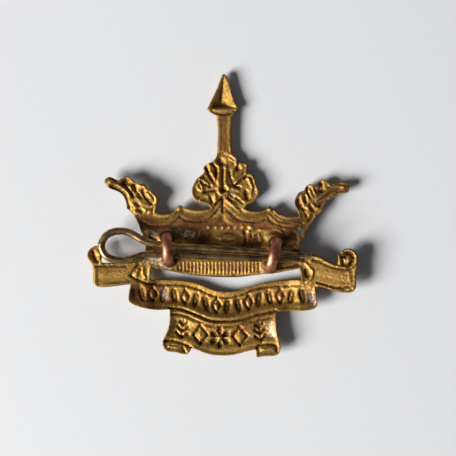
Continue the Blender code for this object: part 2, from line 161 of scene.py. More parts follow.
class Finish:
    """A new material with a Principled shader, and the one way that nodes are added to it."""

    def __init__(self, name, **constants):
        self.material = bpy.data.materials.new(name)
        self.material.use_nodes = True
        self.nodes = self.material.node_tree.nodes
        self.shader = self.nodes["Principled BSDF"]
        for socket, value in constants.items():
            self.shader.inputs[socket.replace("_", " ")].default_value = value
        self.place = self.node("ShaderNodeTexCoord", output="Object")

    def node(self, kind, settings=None, inputs=None, output=0):
        """Adds a node: its settings, then the values or links of its sockets."""
        made = self.nodes.new(kind)
        for name, value in (settings or {}).items():
            setattr(made, name, value)
        for key, value in (inputs or {}).items():
            self.feed(made.inputs[key], value)
        return Value(self, made.outputs[output])

    def feed(self, socket, value):
        if isinstance(value, Value):
            self.material.node_tree.links.new(value.socket, socket)
        else:
            socket.default_value = value

    def set(self, socket, value):
        self.feed(self.shader.inputs[socket], value)

    def attribute(self, name):
        return self.node("ShaderNodeAttribute", {"attribute_name": name}, output="Fac")

    def noise(self, size, detail=3.0, roughness=0.55, stretch=None, distortion=0.0):
        """Noise whose blotches are about this size, in metres."""
        place = self.place
        if stretch:
            place = self.node("ShaderNodeMapping", None, {"Vector": place, "Scale": stretch})
        inputs = {"Vector": place, "Scale": 1.0 / size, "Detail": detail, "Roughness": roughness}
        inputs["Distortion"] = distortion
        return self.node("ShaderNodeTexNoise", None, inputs, output="Fac")

    def blend(self, share, first, second):
        """Colour first where share is 0 and second where it is 1."""
        made = self.nodes.new("ShaderNodeMix")
        made.data_type = "RGBA"
        made.clamp_factor = True
        for socket, value in (("Factor_Float", share), ("A_Color", first), ("B_Color", second)):
            self.feed(next(item for item in made.inputs if item.identifier == socket), value)
        return Value(self, next(item for item in made.outputs if item.identifier == "Result_Color"))

    def bump(self, height, strength, distance):
        inputs = {"Height": height, "Strength": strength, "Distance": distance}
        self.set("Normal", self.node("ShaderNodeBump", None, inputs))


def srgb(red, green, blue):
    """A colour as painters write it, 0 to 255, as the linear colour that shaders take."""
    linear = [((c / 255 + 0.055) / 1.055) ** 2.4 if c > 10 else c / 3294 for c in (red, green, blue)]
    return (*linear, 1.0)


print("shader helpers ready")

# %% [markdown]
# ## Table
# The badge lies on a pale painted board. A plain grid is enough for it, made so much wider than
# the badge that its edge never comes into view. It only gets a faint grain, so that it stays quiet.

# %% Table
TABLE_GAP = 0.01 * MM  # between the badge and the board
table = Finish("table", Roughness=0.85)
paint_grain = table.noise(0.9 * MM, 4.0)
table.set("Base Color", table.blend(paint_grain, srgb(224, 226, 229), srgb(230, 232, 235)))
table.bump(table.noise(0.35 * MM, 3.0), 0.12, 0.04 * MM)
floor_mesh = bmesh.new()
bmesh.ops.create_grid(floor_mesh, x_segments=1, y_segments=1, size=0.6)
floor_data = bpy.data.meshes.new("table")
floor_mesh.to_mesh(floor_data)
floor_mesh.free()
floor = bpy.data.objects.new("table", floor_data)
floor.data.materials.append(table.material)
floor.location.z = -TABLE_GAP
bpy.context.scene.collection.objects.link(floor)
print("table", floor.dimensions.x, "m wide")

# %% [markdown]
# ## The sheet
# The badge is one sheet, pressed between a die and its counter, so the back is the front turned
# inside out. The way to make it here is the way it was really made: cut a flat blank, give it
# enough points to bend at, and press it. The blank is the back of the CAD plate, laid flat again
# and cut along a fine grid, and the pressing moves each point to the height that the die gives.

# %% Lay the back of the CAD plate flat
SHEET_THICKNESS = 0.8 * MM
sheet = bmesh.new()
sheet.from_mesh(nodes["badge_plate"].data)
bmesh.ops.remove_doubles(sheet, verts=sheet.verts, dist=0.001 * MM)
sheet.normal_update()
FACING_UP = 0.05  # a face of the back has a normal that rises at least this much
not_back = [face for face in sheet.faces if face.normal.z < FACING_UP]
bmesh.ops.delete(sheet, geom=not_back, context="FACES")
for vert in sheet.verts:
    vert.co.z = 0.0
bmesh.ops.dissolve_limit(sheet, angle_limit=math.radians(1), verts=sheet.verts, edges=sheet.edges)
rim_edges = [edge for edge in sheet.edges if edge.is_boundary]
rim_ends = np.array([[vert.co.xy for vert in edge.verts] for edge in rim_edges]) / MM
print("blank:", len(sheet.faces), "faces,", len(rim_edges), "edges round the rim")

# %% Cut the blank into fine cells
CELL = 0.37 * MM
low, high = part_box("badge_plate")
for axis in (Vector((1, 0, 0)), Vector((0, 1, 0))):
    for line in np.arange(low @ axis + CELL / 2, high @ axis, CELL):
        whole = sheet.verts[:] + sheet.edges[:] + sheet.faces[:]
        bmesh.ops.bisect_plane(sheet, geom=whole, dist=CELL / 30, plane_co=axis * line, plane_no=axis)
bmesh.ops.subdivide_edges(sheet, edges=sheet.edges[:], cuts=1, use_grid_fill=True)
many_sided = [face for face in sheet.faces if len(face.verts) > 4]
bmesh.ops.triangulate(sheet, faces=many_sided, quad_method="BEAUTY", ngon_method="BEAUTY")
bmesh.ops.recalc_face_normals(sheet, faces=sheet.faces)
if sheet.faces[0].normal.z < 0:
    bmesh.ops.reverse_faces(sheet, faces=sheet.faces)
print("blank:", len(sheet.faces), "faces,", len(sheet.verts), "points")

# %% Ease the corners of the cut edge
for _ in range(2):
    eased = {}
    for vert in sheet.verts:
        beside = [edge.other_vert(vert).co for edge in vert.link_edges if edge.is_boundary]
        if len(beside) == 2:
            eased[vert] = vert.co * 0.5 + (beside[0] + beside[1]) * 0.25
    for vert, place in eased.items():
        vert.co = place
sheet.verts.index_update()
points = np.array([vert.co.xy for vert in sheet.verts]) / MM
beside = np.array([[vert.index for vert in edge.verts] for edge in sheet.edges])
print("edge points eased:", len(eased))

# %% [markdown]
# ## The die
# A die cutter works with a few tools: one that lowers a field inside an outline, one that draws a
# ridge or a groove along a line, and a round punch. Each is a function here that adds to one array
# of heights, in millimetres, so the whole relief is a list of strokes that can be read and changed.
# The heights are over the rim, so a sunk field is negative.

# %% Curves and distances


def smooth_step(share):
    share = np.clip(share, 0.0, 1.0)
    return share * share * (3.0 - 2.0 * share)


def distance_to(places, ends):
    """How far each place lies from the nearest of the straight pieces."""
    nearest = np.full(len(places), np.inf)
    for start, end in ends:
        step = end - start
        offset = places - start
        share = np.clip(offset @ step / max(step @ step, 1e-12), 0.0, 1.0)
        nearest = np.minimum(nearest, np.linalg.norm(offset - share[:, None] * step, axis=1))
    return nearest


def smooth_line(knots, steps=6):
    """A smooth curve through the knots, as an array of points."""
    knots = [np.array(knot, float) for knot in knots]
    knots = [2 * knots[0] - knots[1], *knots, 2 * knots[-1] - knots[-2]]
    line = []
    for before, start, end, after in zip(knots, knots[1:], knots[2:], knots[3:]):
        for t in np.arange(steps) / steps:
            bend = (2 * before - 5 * start + 4 * end - after) * t * t
            bend = bend + (3 * start - before - 3 * end + after) * t ** 3
            line.append(start + ((end - before) * t + bend) / 2)
    return np.array([*line, knots[-2]])


print("curve helpers ready")

# %% The engraver's tools
BOLDNESS = 1.2  # every line is cut this much higher or deeper than it is drawn
PAINT_FULLNESS = 1.6  # over 1, so that a stroke of paint is full for most of its width
PUNCH_REACH, PUNCH_WALL = 1.2, 0.7  # how far a punch reaches and how wide its wall is, of its size
MARKS = ("solder", "verdigris", "toned", "sooty", "silvered", "browned", "coarse", "bright")
relief = np.zeros(len(points))
marks = {name: np.zeros(len(points)) for name in MARKS}


def bell(width, knots):
    """Which points a tool of this width touches along a line, and how fully, from 0 to 1."""
    line = smooth_line(knots)
    within = (points > line.min(0) - width / 2).all(1) & (points < line.max(0) + width / 2).all(1)
    touched = np.flatnonzero(within)
    away = distance_to(points[touched], np.stack([line[:-1], line[1:]], axis=1))
    return touched, 1.0 - smooth_step(away / (width / 2))


def engrave(rise, width, *lines):
    """Raises a ridge of this width along each line, or cuts a groove where rise is negative."""
    for knots in lines:
        touched, share = bell(width, knots)
        relief[touched] += BOLDNESS * rise * share


def paint(mark, strength, width, *lines):
    """Paints a mark of age, painted shade or painted highlight along each line, where it is not stronger
    already.
    """
    for knots in lines:
        touched, share = bell(width, knots)
        stroke = strength * np.minimum(1.0, PAINT_FULLNESS * share)
        marks[mark][touched] = np.maximum(marks[mark][touched], stroke)


def punch(rise, half_width, half_length, *middles, turn=0.0):
    """Sets an oval punch at each middle, turned clockwise by degrees."""
    angle = math.radians(turn)
    for middle in middles:
        offset = points - np.array(middle)
        across = offset[:, 0] * math.cos(angle) - offset[:, 1] * math.sin(angle)
        along = offset[:, 0] * math.sin(angle) + offset[:, 1] * math.cos(angle)
        from_middle = np.hypot(across / half_width, along / half_length)
        relief[:] += rise * smooth_step((PUNCH_REACH - from_middle) / PUNCH_WALL)


def inside_of(corners):
    """Distance inside the outline drawn by the corners, negative outside it."""
    loop = smooth_line([*corners, corners[0]], 3)
    ends = np.stack([loop[:-1], loop[1:]], axis=1)
    crossings = np.zeros(len(points), bool)
    for (x0, y0), (x1, y1) in ends:
        if y0 != y1:
            spans = (points[:, 1] > min(y0, y1)) & (points[:, 1] <= max(y0, y1))
            left = points[:, 0] < x0 + (points[:, 1] - y0) * (x1 - x0) / (y1 - y0)
            crossings ^= spans & left
    return np.where(crossings, 1.0, -1.0) * distance_to(points, ends)


def sink(depth, slope, corners):
    """Lowers what is inside the corners, with a slope of this width round it."""
    relief[:] -= depth * smooth_step(inside_of(corners) / slope)


print("tools ready for", len(points), "points")

# %% The rim and the fields inside it
FIELD_DEPTH = 0.27
FIELD_SLOPE = 0.55
SHAFT_SHARE = 0.15  # how deep the shaft's field is, of the others'
SHAFT_FOOT, SHAFT_TOP, SHAFT_HALF_WIDTH = 10.2, 17.4, 2.2
RIBBON_SHARE = 0.45  # how deep the ribbons' fields are, of the others'
RIBBON_START, RIBBON_BOTTOM, RIBBON_TOP = 14.2, -12.8, -7.0
inside = distance_to(points, rim_ends)
x, y = points.T
relief -= FIELD_DEPTH * smooth_step(inside / FIELD_SLOPE)
shaft = smooth_step((SHAFT_TOP - y) / 0.5) * smooth_step((y - SHAFT_FOOT) / 0.8)
shaft = shaft * (np.abs(x) < SHAFT_HALF_WIDTH)
ribbon = smooth_step((RIBBON_TOP - y) / 0.6) * smooth_step((y - RIBBON_BOTTOM) / 0.6)
ribbon = ribbon * smooth_step((np.abs(x) - RIBBON_START) / 0.8)
relief *= (1.0 - (1.0 - SHAFT_SHARE) * shaft) * (1.0 - (1.0 - RIBBON_SHARE) * ribbon)
print("field", FIELD_DEPTH, "mm deep")

# %% [markdown]
# ### Spear
# The head is a hollow pyramid: its deepest line runs down the middle, so the left side lies in
# shade and the right side takes the light. A plain band closes it, and the shaft below is almost
# flat between two thin rims.

# %% Strike the spear
HEAD_TIP, HEAD_FOOT, BAND_FOOT = 23.6, 18.1, 17.3
HEAD_STEEPNESS = 0.5
LEFT_SIDE, RIGHT_SIDE, FOOT_SIDE = 1.25, 0.78, 2.6  # how steep each side is, beside the others
BAND_SHARE = 0.25  # how deep the band is, of the fields


def right_of(place, run, rise):
    """How far each point lies to the right of the line through the place, along (run, rise)."""
    return ((x - place[0]) * rise - (y - place[1]) * run) / math.hypot(rise, run)


head = y > HEAD_FOOT
left_side = LEFT_SIDE * right_of((-0.1, HEAD_TIP), 2.4, 5.5)
right_side = -RIGHT_SIDE * right_of((0.6, HEAD_TIP), -2.0, 5.4)
pyramid = np.minimum(np.minimum(left_side, right_side), FOOT_SIDE * (y - HEAD_FOOT))
relief[head] = -HEAD_STEEPNESS * np.clip(pyramid, 0.0, None)[head]
band = (y <= HEAD_FOOT) & (y > BAND_FOOT)
relief[band] *= BAND_SHARE
engrave(-0.22, 0.45, [(-1.9, 17.75), (-1.2, 17.45), (0.0, 17.25), (1.2, 17.4), (2.0, 17.75)])
engrave(0.05, 0.45, [(1.25, 16.6), (1.15, 14.0), (1.25, 11.2)])
engrave(-0.03, 0.6, [(-0.15, 16.6), (-0.1, 14.0), (-0.2, 11.2)])
engrave(0.22, 0.6, [(1.0, 10.4), (2.0, 9.8), (2.3, 9.2), (2.2, 8.3), (1.7, 7.4), (1.5, 6.8), (1.6, 5.9)])
engrave(0.20, 0.5, [(0.5, 10.6), (0.9, 10.4)], [(1.1, 9.7), (1.8, 9.2)])
punch(-0.34, 0.85, 0.62, (-0.3, 9.0), turn=60)
print("spear struck")

# %% [markdown]
# ### Palmette
# The flower over the middle of the crown is a fan of petals that grow from one heart. Each petal
# is a ridge with a groove beside it, so it is drawn as two lines.

# %% Strike the palmette
engrave(0.24, 0.75, [(-0.65, 8.3), (-0.7, 7.0), (-0.75, 5.5)],
        [(0.5, 8.3), (0.45, 6.6), (0.55, 5.2), (1.1, 4.6)])
engrave(-0.34, 0.55, [(0.0, 8.0), (-0.05, 6.0), (0.1, 4.9)], [(-1.1, 8.1), (-1.15, 6.5)])
engrave(-0.34, 0.6, [(1.1, 7.4), (1.6, 5.9), (2.0, 5.0), (2.9, 4.75)])
engrave(0.26, 0.6, [(-2.35, 8.0), (-1.9, 7.1), (-1.3, 6.1)], [(-2.4, 8.75), (-1.6, 7.95)])
engrave(0.26, 0.55, [(-3.9, 6.2), (-3.1, 5.6), (-2.3, 5.1)], [(-3.0, 6.4), (-2.3, 5.7), (-1.7, 5.2)])
engrave(-0.36, 0.65, [(-2.8, 8.0), (-2.3, 6.9), (-1.7, 5.9)], [(-1.75, 8.8), (-1.3, 7.9), (-1.05, 7.0)])
engrave(-0.30, 0.45, [(-3.2, 6.6), (-2.4, 5.8), (-2.0, 5.3)], [(-3.7, 5.8), (-2.8, 5.2), (-2.0, 4.8)])
punch(-0.5, 0.45, 0.45, (0.15, 4.35))
engrave(0.26, 0.5, [(-0.5, 5.2), (-0.75, 4.5), (-0.5, 3.7), (0.2, 3.5), (0.8, 3.9)])
engrave(0.24, 0.5, [(-3.9, 5.6), (-4.35, 5.0), (-4.0, 4.4), (-3.4, 4.1)], [(-3.8, 5.3), (-3.3, 4.3)])
engrave(0.20, 0.5, [(-3.9, 2.7), (-3.2, 3.2), (-2.4, 3.3)], [(-1.25, 3.4), (-1.15, 2.5)])
engrave(-0.30, 0.55, [(-2.1, 3.1), (-1.8, 2.2)], [(-3.2, 3.9), (-2.2, 4.1), (-1.3, 4.2)],
        [(-0.1, 2.9), (-1.2, 1.8)])
engrave(0.24, 0.45, [(0.5, 2.8), (1.0, 2.2), (1.9, 1.4), (2.9, 0.7)], [(0.9, 2.5), (1.5, 2.0), (2.3, 1.6)])
engrave(0.24, 0.5, [(2.1, 3.5), (2.9, 2.9), (3.6, 2.2)])
engrave(-0.28, 0.45, [(2.2, 3.0), (2.9, 2.5), (3.5, 2.0)], [(1.3, 3.5), (1.7, 3.0)],
        [(1.0, 2.95), (1.5, 2.5)])
engrave(0.28, 0.7, [(2.0, 5.5), (3.0, 6.3), (4.0, 7.1)], [(4.3, 6.3), (4.7, 5.5), (5.0, 4.7), (4.7, 3.6)])
engrave(-0.30, 0.5, [(2.4, 5.2), (3.2, 6.0), (4.0, 6.6)])
punch(-0.22, 0.55, 0.45, (2.5, 7.9), turn=30)
engrave(0.20, 0.5, [(3.0, 8.4), (3.5, 8.1)], [(1.5, 4.6), (2.7, 4.2)])
punch(-0.45, 0.42, 0.95, (4.05, 3.4), turn=-10)
print("palmette struck")

# %% [markdown]
# ### Leaves
# A half leaf curls up at each side of the crown and ends in a bead. One strong line runs along its
# spine, its lobes are scooped hollow, and a small scroll fills the corner.

# %% Strike the left leaf
engrave(0.38, 0.9, [(-19.2, 5.7), (-18.0, 5.2), (-17.0, 4.6), (-16.2, 3.9), (-15.8, 3.2)])
punch(0.30, 0.7, 0.6, (-19.2, 5.5))
engrave(-0.22, 0.7, [(-19.0, 4.85), (-17.6, 4.2), (-16.7, 3.4), (-16.2, 2.3), (-15.9, 1.2), (-15.2, 0.1)])
punch(-0.30, 0.45, 0.65, (-16.6, 5.6), turn=35)
engrave(0.26, 0.55, [(-15.9, 6.2), (-15.1, 5.5)], [(-15.8, 4.9), (-15.5, 4.2)],
        [(-14.1, 5.0), (-13.2, 4.7)])
engrave(-0.30, 0.5, [(-15.2, 5.4), (-14.9, 4.7), (-14.7, 4.0)], [(-16.0, 4.4), (-15.5, 3.6), (-15.1, 3.1)])
engrave(-0.36, 0.6, [(-13.6, 4.1), (-13.3, 3.2), (-12.7, 2.5), (-12.1, 1.9)])
engrave(0.36, 0.65, [(-12.8, 3.7), (-12.4, 3.2), (-12.0, 2.7)])
engrave(0.26, 0.5, [(-12.3, 4.0), (-11.5, 3.1), (-11.4, 2.2), (-12.0, 1.5), (-13.1, 1.6), (-13.9, 1.9)])
engrave(0.24, 0.55, [(-15.4, 1.9), (-14.8, 1.2)], [(-14.6, 2.9), (-14.0, 2.4)],
        [(-15.0, 0.7), (-14.2, 0.2)])
engrave(-0.24, 0.5, [(-14.8, 2.1), (-14.2, 1.5)], [(-14.3, 3.7), (-13.8, 2.9)],
        [(-14.3, 0.9), (-13.7, 0.6)])
punch(0.26, 0.4, 0.35, (-13.2, 0.8), (-12.4, 0.45))
print("left leaf struck")

# %% Strike the right leaf
engrave(0.38, 0.9, [(20.6, 4.7), (19.5, 4.8), (18.0, 4.2), (17.0, 3.4), (16.0, 2.7)])
punch(0.30, 0.6, 0.55, (20.7, 4.7))
punch(-0.30, 0.5, 1.0, (13.0, 2.1), turn=-20)
engrave(0.32, 0.5, [(13.6, 3.4), (13.4, 2.5), (13.9, 1.8)], [(14.3, 3.5), (14.9, 2.6)])
engrave(0.28, 0.45, [(14.7, 4.5), (15.0, 3.6), (15.4, 2.9)], [(15.3, 4.7), (15.6, 3.9), (16.0, 3.3)])
engrave(-0.32, 0.45, [(14.3, 4.3), (14.6, 3.5), (15.0, 2.7)], [(14.0, 3.0), (14.2, 2.2)])
punch(-0.35, 0.35, 0.4, (14.4, 4.7), (16.7, 5.3))
punch(-0.32, 0.55, 0.3, (16.9, 4.1), turn=-15)
engrave(0.22, 0.4, [(17.2, 5.5), (17.6, 4.7)])
engrave(-0.20, 0.5, [(19.6, 3.9), (18.3, 2.9), (17.2, 2.3), (16.3, 1.4)])
punch(0.35, 0.4, 0.4, (16.2, 1.2))
engrave(0.24, 0.5, [(13.3, 0.7), (14.6, 0.5)], [(15.2, 1.8), (15.8, 1.3)], [(14.4, 1.3), (15.0, 0.4)])
engrave(-0.24, 0.5, [(14.9, 1.8), (15.6, 0.7)], [(13.6, 1.3), (14.4, -0.3)], [(15.3, 0.0), (14.6, -1.0)])
print("right leaf struck")

# %% [markdown]
# ### Arches and circlet
# The crown is a circlet with arches that hang between the leaves and the palmette. The circlet's
# field is the deepest of the badge, because its jewels stand highest on the front. A row of reeds
# runs along its foot.

# %% Strike the arches and the circlet's field
sink(0.18, 0.5, [(-12.6, -2.6), (-10.4, -2.4), (-7.3, -1.5), (-3.8, -1.7), (-1.0, -1.0), (0.0, 0.4),
                 (1.0, -1.0), (3.5, -1.7), (7.8, -1.5), (10.5, -2.3), (12.7, -2.8), (12.7, -6.4),
                 (7.0, -7.5), (0.0, -7.7), (-7.0, -7.4), (-12.4, -6.8)])
LEFT_ARCH = [(-14.0, -1.0), (-12.3, -1.75), (-10.5, -1.85), (-9.0, -1.5), (-8.0, -1.0), (-7.3, -0.3)]
SECOND_ARCH = [(-7.3, -0.2), (-6.5, -0.75), (-5.5, -1.0), (-4.0, -1.05), (-2.5, -0.8), (-1.4, 0.2),
               (-0.3, 1.5)]
THIRD_ARCH = [(0.3, 1.5), (1.1, 0.5), (2.2, -0.4), (3.4, -0.95), (5.0, -1.1), (6.5, -0.95), (7.8, -0.4)]
RIGHT_ARCH = [(7.9, -0.7), (8.6, -1.3), (9.6, -1.7), (11.0, -2.0), (12.6, -2.0), (13.6, -1.4)]
engrave(-0.22, 0.45, LEFT_ARCH, SECOND_ARCH, THIRD_ARCH, RIGHT_ARCH)
engrave(0.12, 0.4, [(8.0, 0.8), (8.8, -0.1), (10.0, -0.9), (11.5, -1.1), (12.8, -1.0)])
engrave(-0.10, 0.35, [(8.2, 0.3), (8.9, -0.5), (10.0, -1.2), (11.5, -1.4)])
engrave(-0.30, 0.6, [(0.0, 2.9), (0.0, 1.8), (0.1, 0.6)])
punch(0.28, 0.4, 0.4, (-7.35, 1.0), (8.05, 0.9))
print("arches struck")

# %% Strike the jewels and beads of the circlet
punch(0.20, 0.28, 0.24, *[(bead, -2.1) for bead in (-2.4, -1.1, 0.0, 1.1, 2.2, 3.35)])
punch(0.34, 0.45, 0.3, (4.8, -2.15))
LOZENGE = [(-1.7, -4.05), (-0.6, -3.35), (0.8, -3.05), (2.3, -3.35), (3.3, -4.0), (2.2, -4.8), (0.8, -5.0),
           (-0.6, -4.7)]
sink(-0.20, 0.45, LOZENGE)
engrave(0.16, 0.5, [(-0.2, -4.1), (1.0, -4.0), (2.4, -4.1)])
engrave(-0.22, 0.5, [(-1.7, -4.1), (-0.9, -4.1)])
engrave(-0.20, 0.4, [(-1.2, -4.3), (0.8, -4.5), (2.6, -4.2)], [(3.8, -3.0), (4.0, -4.2), (3.7, -5.4)])
engrave(0.18, 0.4, [(4.3, -2.6), (4.6, -3.3)], [(6.2, -3.3), (6.4, -4.6)], [(5.2, -3.6), (5.3, -4.6)])
punch(-0.25, 0.25, 0.25, (3.6, -3.9), (3.55, -5.0), (3.7, -2.8))
sink(-0.20, 0.5, [(6.8, -3.7), (7.4, -3.0), (8.6, -2.9), (9.3, -3.6), (8.9, -4.6), (7.6, -4.8)])
engrave(0.22, 0.5, [(6.4, -2.5), (7.9, -2.7), (9.2, -2.4), (10.2, -2.9)])
punch(0.30, 0.45, 0.35, (7.2, -5.2), (12.7, -5.6))
punch(0.16, 0.22, 0.22, *[(-8.4 + 0.75 * step, -2.6 - 0.28 * (step * 5 % 4)) for step in range(7)])
punch(0.16, 0.20, 0.20, *[(-8.0 + 0.8 * step, -3.6 - 0.3 * (step * 3 % 4)) for step in range(6)])
punch(-0.20, 0.30, 0.26, *[(-8.1 + 0.95 * step, -3.1 - 0.5 * (step * 3 % 4)) for step in range(5)])
engrave(-0.16, 0.6, [(4.6, -3.2), (5.4, -4.2), (5.0, -5.2)], [(-12.5, -3.6), (-11.2, -4.2)])
engrave(0.12, 0.6, [(9.8, -4.6), (11.2, -4.9), (12.4, -4.4)], [(-12.6, -5.6), (-11.6, -6.2)])
print("circlet struck")

# %% Strike the reeds
REEDS = 24
FIRST_REED = -7.85
REED_PITCH = 0.62
REED_TOP = -8.1
REED_MARGIN = 0.75  # from a reed's foot to the edge of the opening


def slot_edge(across):
    """The edge of the opening below the reeds."""
    return -10.6 + 0.0123 * across * across


sink(0.16, 0.35, [(-8.3, -7.9), (0.0, -8.0), (6.9, -7.9), (6.9, -9.6), (0.0, -10.2), (-8.3, -9.3)])
reeds = [FIRST_REED + REED_PITCH * step for step in range(REEDS)]
engrave(0.28, 0.56, *[[(reed, REED_TOP), (reed, slot_edge(reed) + REED_MARGIN)] for reed in reeds])
sink(0.22, 0.45, [(9.1, -8.5), (11.0, -8.1), (13.1, -8.0), (13.0, -8.9), (11.0, -9.3), (9.2, -9.6)])
engrave(0.14, 0.4, [(9.4, -8.7), (12.6, -8.4)], [(10.0, -9.3), (12.5, -8.9)])
print(len(reeds), "reeds struck")

# %% [markdown]
# ### Ribbons
# Each end of the scroll is folded back into a short ribbon that ends in a roll. The rolls and the
# folds are what show the light, and the panels between them are plain and grainy.

# %% Strike the ribbons
engrave(-0.40, 0.7, [(-22.0, -6.3), (-21.8, -7.0), (-21.4, -7.8)])
engrave(0.25, 0.5, [(-21.1, -6.3), (-20.9, -7.1), (-20.7, -7.9)])
engrave(0.20, 0.35, [(-21.8, -8.35), (-20.0, -8.35), (-17.0, -8.4), (-14.6, -8.2)])
engrave(-0.18, 0.35, [(-21.5, -8.75), (-19.0, -8.7), (-16.5, -8.75)])
engrave(-0.25, 0.45, [(-14.3, -8.3), (-14.9, -9.0), (-15.3, -9.7), (-15.6, -10.3)])
engrave(-0.32, 0.45, [(-15.7, -10.2), (-14.9, -10.8), (-14.0, -11.2), (-12.8, -11.65), (-11.2, -11.75)])
engrave(0.22, 0.5, [(-13.5, -8.9), (-13.6, -9.8), (-13.2, -10.6)], [(-14.4, -9.3), (-14.7, -10.1)])
engrave(0.14, 0.5, [(-21.6, -9.2), (-21.6, -11.4)], [(-20.5, -11.9), (-18.0, -11.75), (-16.0, -11.5)])
engrave(0.30, 0.5, [(15.1, -7.1), (16.4, -7.4), (17.9, -8.2), (19.2, -8.75), (21.0, -9.0)])
engrave(-0.22, 0.4, [(15.3, -7.65), (16.8, -8.1), (18.4, -8.8), (20.0, -9.25), (21.8, -9.3)])
engrave(0.30, 0.5, [(20.3, -6.4), (21.2, -5.95), (22.1, -6.3), (22.6, -7.1), (22.5, -8.2), (21.8, -8.9),
                    (20.8, -9.0)])
engrave(-0.42, 0.5, [(20.8, -7.2), (21.2, -6.55), (21.9, -6.8), (22.1, -7.6), (21.6, -8.3)])
engrave(0.24, 0.4, [(21.4, -7.1), (21.35, -7.9)], [(19.75, -6.9), (19.9, -8.3)])
engrave(-0.30, 0.4, [(20.3, -7.1), (20.6, -8.4)])
punch(0.16, 0.28, 0.22, (21.4, -9.7), (21.6, -10.3), (21.5, -10.9))
engrave(0.20, 0.4, [(15.8, -11.75), (17.4, -12.2), (19.0, -12.65), (20.5, -12.75), (22.2, -12.3)])
engrave(-0.16, 0.35, [(16.0, -11.4), (17.5, -11.8), (19.2, -12.25), (21.5, -12.2)])
engrave(0.26, 0.5, [(14.1, -8.2), (14.7, -8.9), (15.4, -9.6)], [(15.3, -9.8), (15.1, -10.7), (14.3, -11.4)])
punch(-0.36, 0.45, 0.85, (14.3, -9.9), turn=-15)
print("ribbons struck")

# %% [markdown]
# ### Scroll and plaque
# The scroll and the plaque carry a row of sunk ornaments. They are plain leaves, lozenges and a
# flower here, set by loops along the middle line of each band, so the row can be changed at will.

# %% The ornament punches


def leaf(x, y, turn, half_width, half_length, depth):
    """A leaf sunk below its field, with the midrib left standing."""
    punch(-depth, half_width, half_length, (x, y), turn=turn)
    reach = 0.72 * half_length
    step = np.array([math.sin(math.radians(turn)), math.cos(math.radians(turn))]) * reach
    engrave(0.75 * depth, 0.36, [(x - step[0], y - step[1]), (x + step[0], y + step[1])])


def lozenge(x, y, half_width, half_length, depth):
    """Four cuts that meet at their ends, round a raised bud."""
    corners = [(x, y + half_length), (x + half_width, y), (x, y - half_length), (x - half_width, y)]
    for start, end in zip(corners, corners[1:] + corners[:1]):
        engrave(-depth, 0.44, [start, end])
    punch(0.4 * depth, 0.22, 0.3, (x, y))


def sprig(x, y, turn, height, depth):
    """A stem with three pairs of leaves, pointing up."""
    lean = math.radians(turn)
    up = np.array([math.sin(lean), math.cos(lean)])
    side = np.array([up[1], -up[0]])
    foot, tip = np.array([x, y]) - up * height / 2, np.array([x, y]) + up * height / 2
    engrave(-0.7 * depth, 0.34, [tuple(foot), tuple(tip)])
    for share, spread in ((0.12, 1.0), (0.45, 0.9), (0.78, 0.6)):
        root = foot + up * height * share
        for hand in (-1, 1):
            end = root + side * hand * spread + up * spread * 0.7
            engrave(-depth, 0.52, [tuple(root + side * hand * 0.16), tuple(end)])


def flower(x, y, radius, petals, depth):
    for petal in range(petals):
        angle = 2 * math.pi * petal / petals
        middle = (x + 0.62 * radius * math.sin(angle), y + 0.62 * radius * math.cos(angle))
        punch(-depth, 0.26 * radius, 0.38 * radius, middle, turn=math.degrees(angle))
    punch(0.5 * depth, 0.22 * radius, 0.22 * radius, (x, y))


print("ornaments: leaf, lozenge, sprig, flower")

# %% Strike the scroll
BAND_MIDDLE = [(-14.4, -13.2), (-12.0, -13.5), (-9.6, -13.7), (-7.4, -13.8), (-5.2, -14.2), (-3.2, -14.9),
               (-1.2, -15.4), (0.8, -15.5), (2.8, -15.3), (4.7, -14.8), (6.8, -14.2), (9.0, -13.9),
               (11.5, -13.8), (14.2, -13.7)]
CREASE = [(-9.2, -15.85), (-7.0, -16.05), (-5.5, -16.6), (-4.0, -17.2), (-2.0, -17.95), (0.0, -18.1),
          (2.0, -18.0), (4.0, -17.6), (6.0, -16.95), (7.5, -16.7), (9.2, -16.3)]
BORDER = [(-13.2, -11.75), (-11.0, -11.9), (-8.0, -11.95), (-6.0, -12.15), (-4.0, -12.75), (-2.0, -13.65),
          (0.0, -14.1), (1.5, -14.05), (3.5, -13.5), (5.5, -12.75), (7.5, -12.4), (10.0, -12.15),
          (13.4, -12.05)]
sink(0.30, 0.8, [(-15.5, -12.1), (-13.0, -12.3), (-8.0, -12.3), (-5.5, -12.7), (-2.0, -14.0), (0.5, -14.4),
                 (3.5, -13.8), (6.5, -12.9), (10.0, -12.5), (15.4, -12.6), (15.5, -15.2), (12.0, -15.6),
                 (8.0, -15.8), (5.0, -16.6), (2.0, -17.4), (0.0, -17.5), (-2.5, -17.1), (-5.5, -15.9),
                 (-8.0, -15.4), (-12.0, -15.3), (-15.3, -14.6)])
engrave(-0.26, 0.4, BORDER)
engrave(-0.45, 0.5, CREASE)
ORNAMENTS = 16
ROW_MARGIN = 0.35  # from each end of the band to the nearest ornament, in steps of the row
band_line = smooth_line(BAND_MIDDLE, 8)
along = np.concatenate([[0.0], np.cumsum(np.linalg.norm(np.diff(band_line, axis=0), axis=1))])
for place in range(ORNAMENTS):
    travelled = along[-1] * (place + ROW_MARGIN) / (ORNAMENTS - 1 + 2 * ROW_MARGIN)
    across, height = (np.interp(travelled, along, band_line[:, axis]) for axis in (0, 1))
    if place % 3 == 1:
        lozenge(across, height, 0.70, 1.25, 0.42)
    else:
        leaf(across, height, 12 if place % 3 else -12, 0.56, 1.30, 0.52)
print(ORNAMENTS, "ornaments on the scroll")

